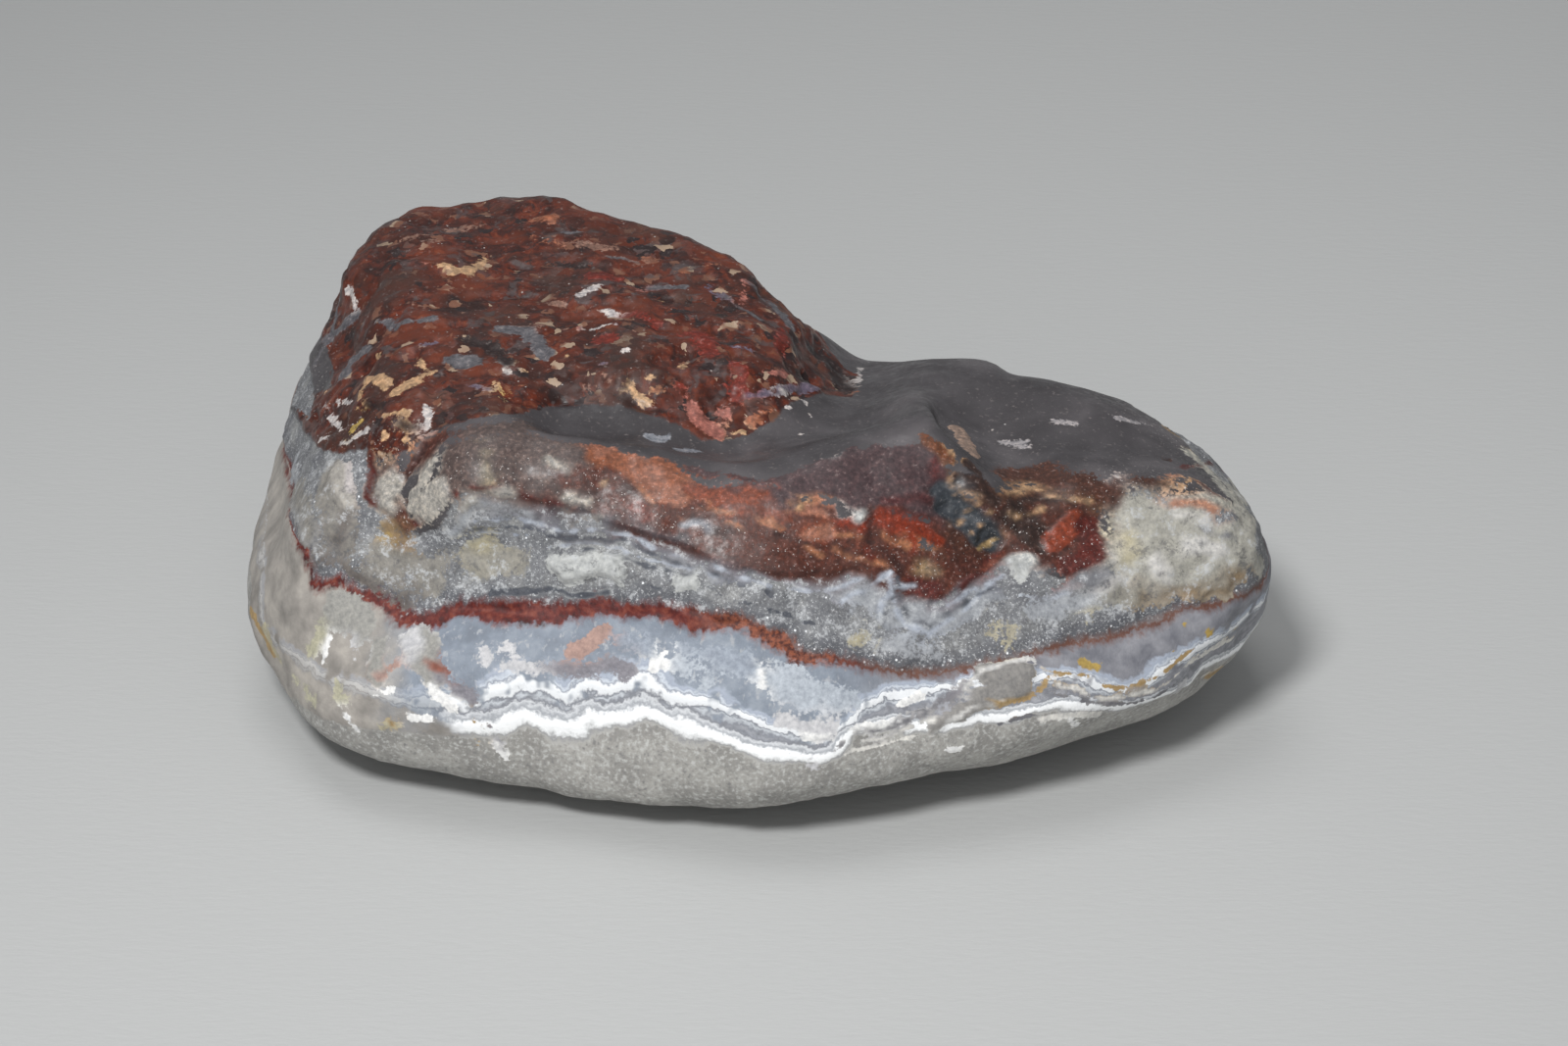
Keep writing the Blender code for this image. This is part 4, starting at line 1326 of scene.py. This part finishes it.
def smoky_colour(t):
    """The polished slate of the hollow and the lobe."""
    return t.mix(t.specks(0.7, 0.10, 0.05), t.ramp(t.noise(2.6, 3.0, 0.5, 0.4), SMOKE), "smoke speck")


def frosted_colour(t, layers):
    """Sugary quartz: grey, with pale grains, darker gaps, a darker hem above the seam and painted glints."""
    base = t.ramp(t.noise(1.5, 3.0, 0.6, 0.3), FROST)
    hem = t.band(t.frayed(layers.seam_mark, layers.fray, 0.3), 0.05, 0.75, 0.3)
    grain = t.noise(0.11, 3.0, 0.7)
    for share, name in (
        (t.times(hem, 0.8), "dark hem"),
        (t.step(grain, 0.52, 0.76), "frost grain"),
        (t.step(grain, 0.48, 0.28), "frost gap"),
        (t.step(t.noise(0.07, 2.0, 0.6), 0.64, 0.72), "bright grain"),
        # painted glints: near-white specks that stand in for the sparkle of the quartz grains
        (t.specks(0.26, 0.14, 0.055), "painted frost glint"),
    ):
        base = t.mix(share, base, name)
    return base


def band_colour(t, layers):
    """The smooth band below the seam: beige at the left end, pale blue, and greyer to the right."""
    blue = t.ramp(t.noise(0.9, 3.0, 0.6), BLUE_BAND)
    blue = t.mix(t.step(layers.hanging, 0.55, 0.72), blue, "hanging milk")
    band = t.mix(t.step(t.frayed(layers.along, layers.wander, 1.5), *LEFT_END), layers.beige, blue)
    return t.mix(t.step(layers.along, *RIGHT_THIRD), band, t.ramp(t.noise(0.8, 3.0, 0.6), RIGHT_BAND))


def base_colour(t, layers):
    """The speckled grey quartz below the lace."""
    base = t.mix(t.step(layers.wander, 0.35, 0.65), "base", "pale base")
    base = t.mix(t.step(layers.fine, 0.48, 0.72), base, "base grain")
    return t.mix(t.step(layers.fine, 0.46, 0.28), base, "base gap")


def laced(t, layers, tint):
    """The two runs of white lace, what lies between them, and the base below."""
    along, fray, fine, wander = layers.along, layers.fray, layers.fine, layers.wander
    left, widest, middle, right = LACE_WIDTHS
    width = t.blend(t.step(along, *LACE_WIDENS), left, t.step(along, *LACE_NARROWS, widest, middle))
    width = t.blend(t.step(along, *LACE_THIN), width, right)
    width = t.times(width, t.step(wander, 0.3, 0.7, 0.7, 1.35))
    begun = t.step(t.frayed(along, wander, 2.5), *LACE_BEGINS)
    broken = t.times(t.step(t.noise(1.1, 2.0, 0.6), 0.36, 0.46), t.blend(begun, 0.35, 1.0))
    upper = t.frayed(t.maths("DIVIDE", layers.upper, width), fine, 0.14)
    lower = t.frayed(t.frayed(t.maths("DIVIDE", layers.lower, width), fine, 0.2), fray, 0.12)
    tint = t.mix(t.times(t.band(upper, -0.8, 0.7, 0.15), broken), tint, t.strata(upper, UPPER_LACE))
    between = t.mix(t.step(fray, 0.4, 0.6), "dark between lace", "pale between lace")
    tint = t.mix(t.times(t.step(upper, -0.6, -0.8), t.step(wander, 0.3, 0.6, 1.0, 0.5)), tint,
                 t.mix(begun, layers.beige, between))
    tint = t.mix(t.times(t.band(lower, -0.75, 0.65, 0.12), begun), tint, t.strata(lower, LOWER_LACE))
    return t.mix(t.step(lower, -0.45, -0.75), tint, base_colour(t, layers))


def seamed(t, layers, tint):
    """The torn red seam, which thins and dulls to the right and hangs down into the blue band."""
    along, wander = layers.along, layers.wander
    rust = t.ramp(t.noise(0.35, 3.0, 0.6), RUST)
    orange = t.mix(t.step(layers.fine, 0.35, 0.65), "mid rust", "mid orange rust")
    rust = t.mix(t.band(t.frayed(along, wander, 1.0), *SEAM_ORANGE, 1.0), rust, orange)
    rust = t.mix(t.step(along, *SEAM_DULL), rust, t.mix(layers.fray, "right rust", "right pale rust"))
    left, middle, right = SEAM_WIDTHS
    width = t.blend(t.step(along, *SEAM_WIDENS), left, t.step(along, *SEAM_NARROWS, middle, right))
    width = t.times(width, t.step(wander, 0.3, 0.7, 0.6, 1.5))
    reach = t.maths("SUBTRACT", t.maths("ABSOLUTE", t.frayed(layers.seam, layers.hanging, 0.3)), width)
    tint = t.mix(t.step(reach, 0.3, 0.0), tint, t.mix(0.55, tint, rust))
    return t.mix(t.step(reach, 0.08, -0.06), tint, rust)


def patched(t, layers, tint):
    """The painted patches over everything, speckled below the cap and gritty on it."""
    fine, polished = layers.fine, layers.polished
    speckle = t.factors(t.blend(0.4, fine, layers.fray), SPECKLE)
    grit = t.factors(t.blend(0.5, fine, t.noise(0.3, 4.0, 0.75)), GRIT)
    patch = t.mix(t.blend(polished, 0.8, 0.0), t.stored("coat").outputs["Color"], speckle, "MULTIPLY")
    patch = t.mix(t.blend(polished, 0.0, 0.85), patch, grit, "MULTIPLY")
    shown = t.maths("ADD", t.mark("cover"), t.step(fine, 0.3, 0.7, -0.28, 0.28))
    return t.mix(t.step(shown, 0.3, 0.7), tint, patch)


def sugared(t, layers, tint):
    """Patches of white sugary grains on the frosted quartz, and dark gaps between them."""
    frosted = t.times(t.step(layers.seam, 0.15, 0.4), t.step(layers.cap, 0.0, -0.15))
    patches = t.noise(0.8, 4.0, 0.7, 0.3)
    grains = t.times(t.step(patches, 0.53, 0.63), t.step(t.noise(0.14, 3.0, 0.7), 0.42, 0.58, 0.1, 0.65))
    gaps = t.times(t.step(patches, 0.48, 0.36), t.step(t.noise(0.12, 3.0, 0.7), 0.42, 0.56, 0.0, 0.6))
    tint = t.mix(t.times(frosted, grains), tint, "sugar")
    return t.mix(t.times(frosted, gaps), tint, "sugar gap")


def dusted(t, layers, tint):
    """White dust near the lower edge of the cap, and a faint grey bloom all over the cap."""
    dust = t.times(t.band(layers.cap, 0.0, 1.6, 0.7), t.step(t.noise(0.1, 2.0, 0.6), 0.64, 0.72))
    tint = t.mix(t.times(dust, t.step(layers.fray, 0.4, 0.6, 0.15, 0.8)), tint, "dust")
    bloom = t.times(t.step(layers.cap, 0.0, 0.3), t.step(layers.fine, 0.58, 0.8, 0.0, 0.35))
    return t.mix(bloom, tint, "grey bloom")


def stone_material():
    """Every layer of the stone, from the base up."""
    t = Tree("chalcedony")
    layers = Layers(t)
    tint = t.mix(t.step(layers.seam, 0.12, -0.12), frosted_colour(t, layers), band_colour(t, layers))
    tint = laced(t, layers, tint)
    hump = t.step(t.frayed(t.mark("jasper"), layers.fray, 0.25), -0.08, 0.08)
    tint = t.mix(t.step(layers.cap, -0.06, 0.06), tint, t.mix(hump, smoky_colour(t), jasper_colour(t)))
    for finish in (seamed, patched, sugared, dusted):
        tint = finish(t, layers, tint)
    t.feed(t.shader.inputs["Base Color"], tint)
    glossy, dull = CAP_ROUGHNESS
    gloss = t.step(layers.fray, 0.35, 0.65, glossy, dull)
    t.feed(t.shader.inputs["Roughness"], t.blend(layers.polished, QUARTZ_ROUGHNESS, gloss))
    t.shader.inputs["Specular IOR Level"].default_value = SPECULAR
    grain = t.blend(layers.polished, t.noise(0.13, 3.0, 0.65), t.noise(0.5, 3.0, 0.5))
    t.bump(grain, BUMP_HEIGHT, BUMP_STRENGTH)
    return t.material


def shown_object(name, data):
    """A new object in the scene with this name and data."""
    thing = bpy.data.objects.new(name, data)
    bpy.context.scene.collection.objects.link(thing)
    return thing


def stone():
    """The whole stone as one closed skin, with its marks on it."""
    points, triangles = skin()
    marks = painted(points, triangles)
    coat, marks["cover"] = coated(points, marks)
    points = points + normals_of(points, triangles) * relief(points, marks)[:, None]
    points = set_down(points)
    points[:, 2] = np.maximum(points[:, 2], 0.0)
    mesh = bpy.data.meshes.new("chalcedony")
    mesh.from_pydata(points.tolist(), [], triangles.tolist())
    mesh.shade_smooth()
    for name in (*RINGS, "cover"):
        mesh.attributes.new(name, "FLOAT", "POINT").data.foreach_set("value", marks[name].astype(np.float32))
    colours = mesh.attributes.new("coat", "FLOAT_COLOR", "POINT")
    colours.data.foreach_set("color", coat.astype(np.float32).ravel())
    mesh.materials.append(stone_material())
    piece = shown_object("chalcedony", mesh)
    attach(piece, "root")
    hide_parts(NODE)


def camera():
    """The camera of the picture: 30 degrees above the front, far back."""
    data = bpy.data.cameras.new("camera")
    data.sensor_width = SENSOR_WIDTH
    data.lens = data.sensor_width * VIEW_DISTANCE / (VIEW_MM_PER_PX * VIEW_WIDTH_PX)
    data.clip_start, data.clip_end = CLIP
    eye = shown_object("camera", data)
    eye.location = set_down(camera_place())
    eye.rotation_euler = (math.radians(90.0 - VIEW_ELEVATION), 0.0, 0.0)
    bpy.context.scene.camera = eye


def floor():
    """A plain pale floor that runs far past the picture, with low waves in its surface."""
    half = FLOOR_HALF_SIZE
    mesh = bpy.data.meshes.new("floor")
    mesh.from_pydata([(-half, -half, 0.0), (half, -half, 0.0), (half, half, 0.0), (-half, half, 0.0)],
                     [], [(0, 1, 2, 3)])
    t = Tree("floor")
    t.shader.inputs["Base Color"].default_value = FLOOR_COLOUR
    t.shader.inputs["Roughness"].default_value = FLOOR_ROUGHNESS
    waves = t.noise(1.0, place=t.vector("MULTIPLY", t.metres, FLOOR_WAVES))
    t.bump(waves, FLOOR_BUMP_HEIGHT, FLOOR_BUMP_STRENGTH)
    mesh.materials.append(t.material)
    shown_object("floor", mesh)


def key_light():
    """A round soft light from the front left, aimed at the stone, that fades out across its cone."""
    data = bpy.data.lights.new("key", "SPOT")
    data.shadow_soft_size = KEY_RADIUS
    data.spot_size = math.radians(KEY_SPREAD)
    data.spot_blend = 1.0
    data.energy = KEY_POWER
    lamp = shown_object("key", data)
    lamp.location = KEY_PLACE
    lamp.rotation_euler = (Vector(KEY_TARGET) - Vector(KEY_PLACE)).to_track_quat("-Z", "Y").to_euler()


def soft_light(name, place, size, power):
    """A square soft light at this place, aimed at the stone."""
    data = bpy.data.lights.new(name, "AREA")
    data.size = size
    data.energy = power
    lamp = shown_object(name, data)
    lamp.location = place
    aim = -np.array(place)
    lamp.rotation_euler = (math.atan2(math.hypot(aim[0], aim[1]), -aim[2]), 0.0,
                           math.atan2(aim[1], aim[0]) - math.pi / 2.0)


def lights():
    """Soft studio light: a key from the front and above, a low fill, a weak top light and a dim surround."""
    key_light()
    for light in SOFT_LIGHTS:
        soft_light(*light)
    world = bpy.data.worlds.new("surround")
    world.use_nodes = True
    surround = world.node_tree.nodes["Background"]
    surround.inputs["Color"].default_value = SURROUND_COLOUR
    surround.inputs["Strength"].default_value = SURROUND_STRENGTH
    bpy.context.scene.world = world
    bpy.context.scene.view_settings.view_transform = "Standard"


camera()
lights()
floor()
stone()
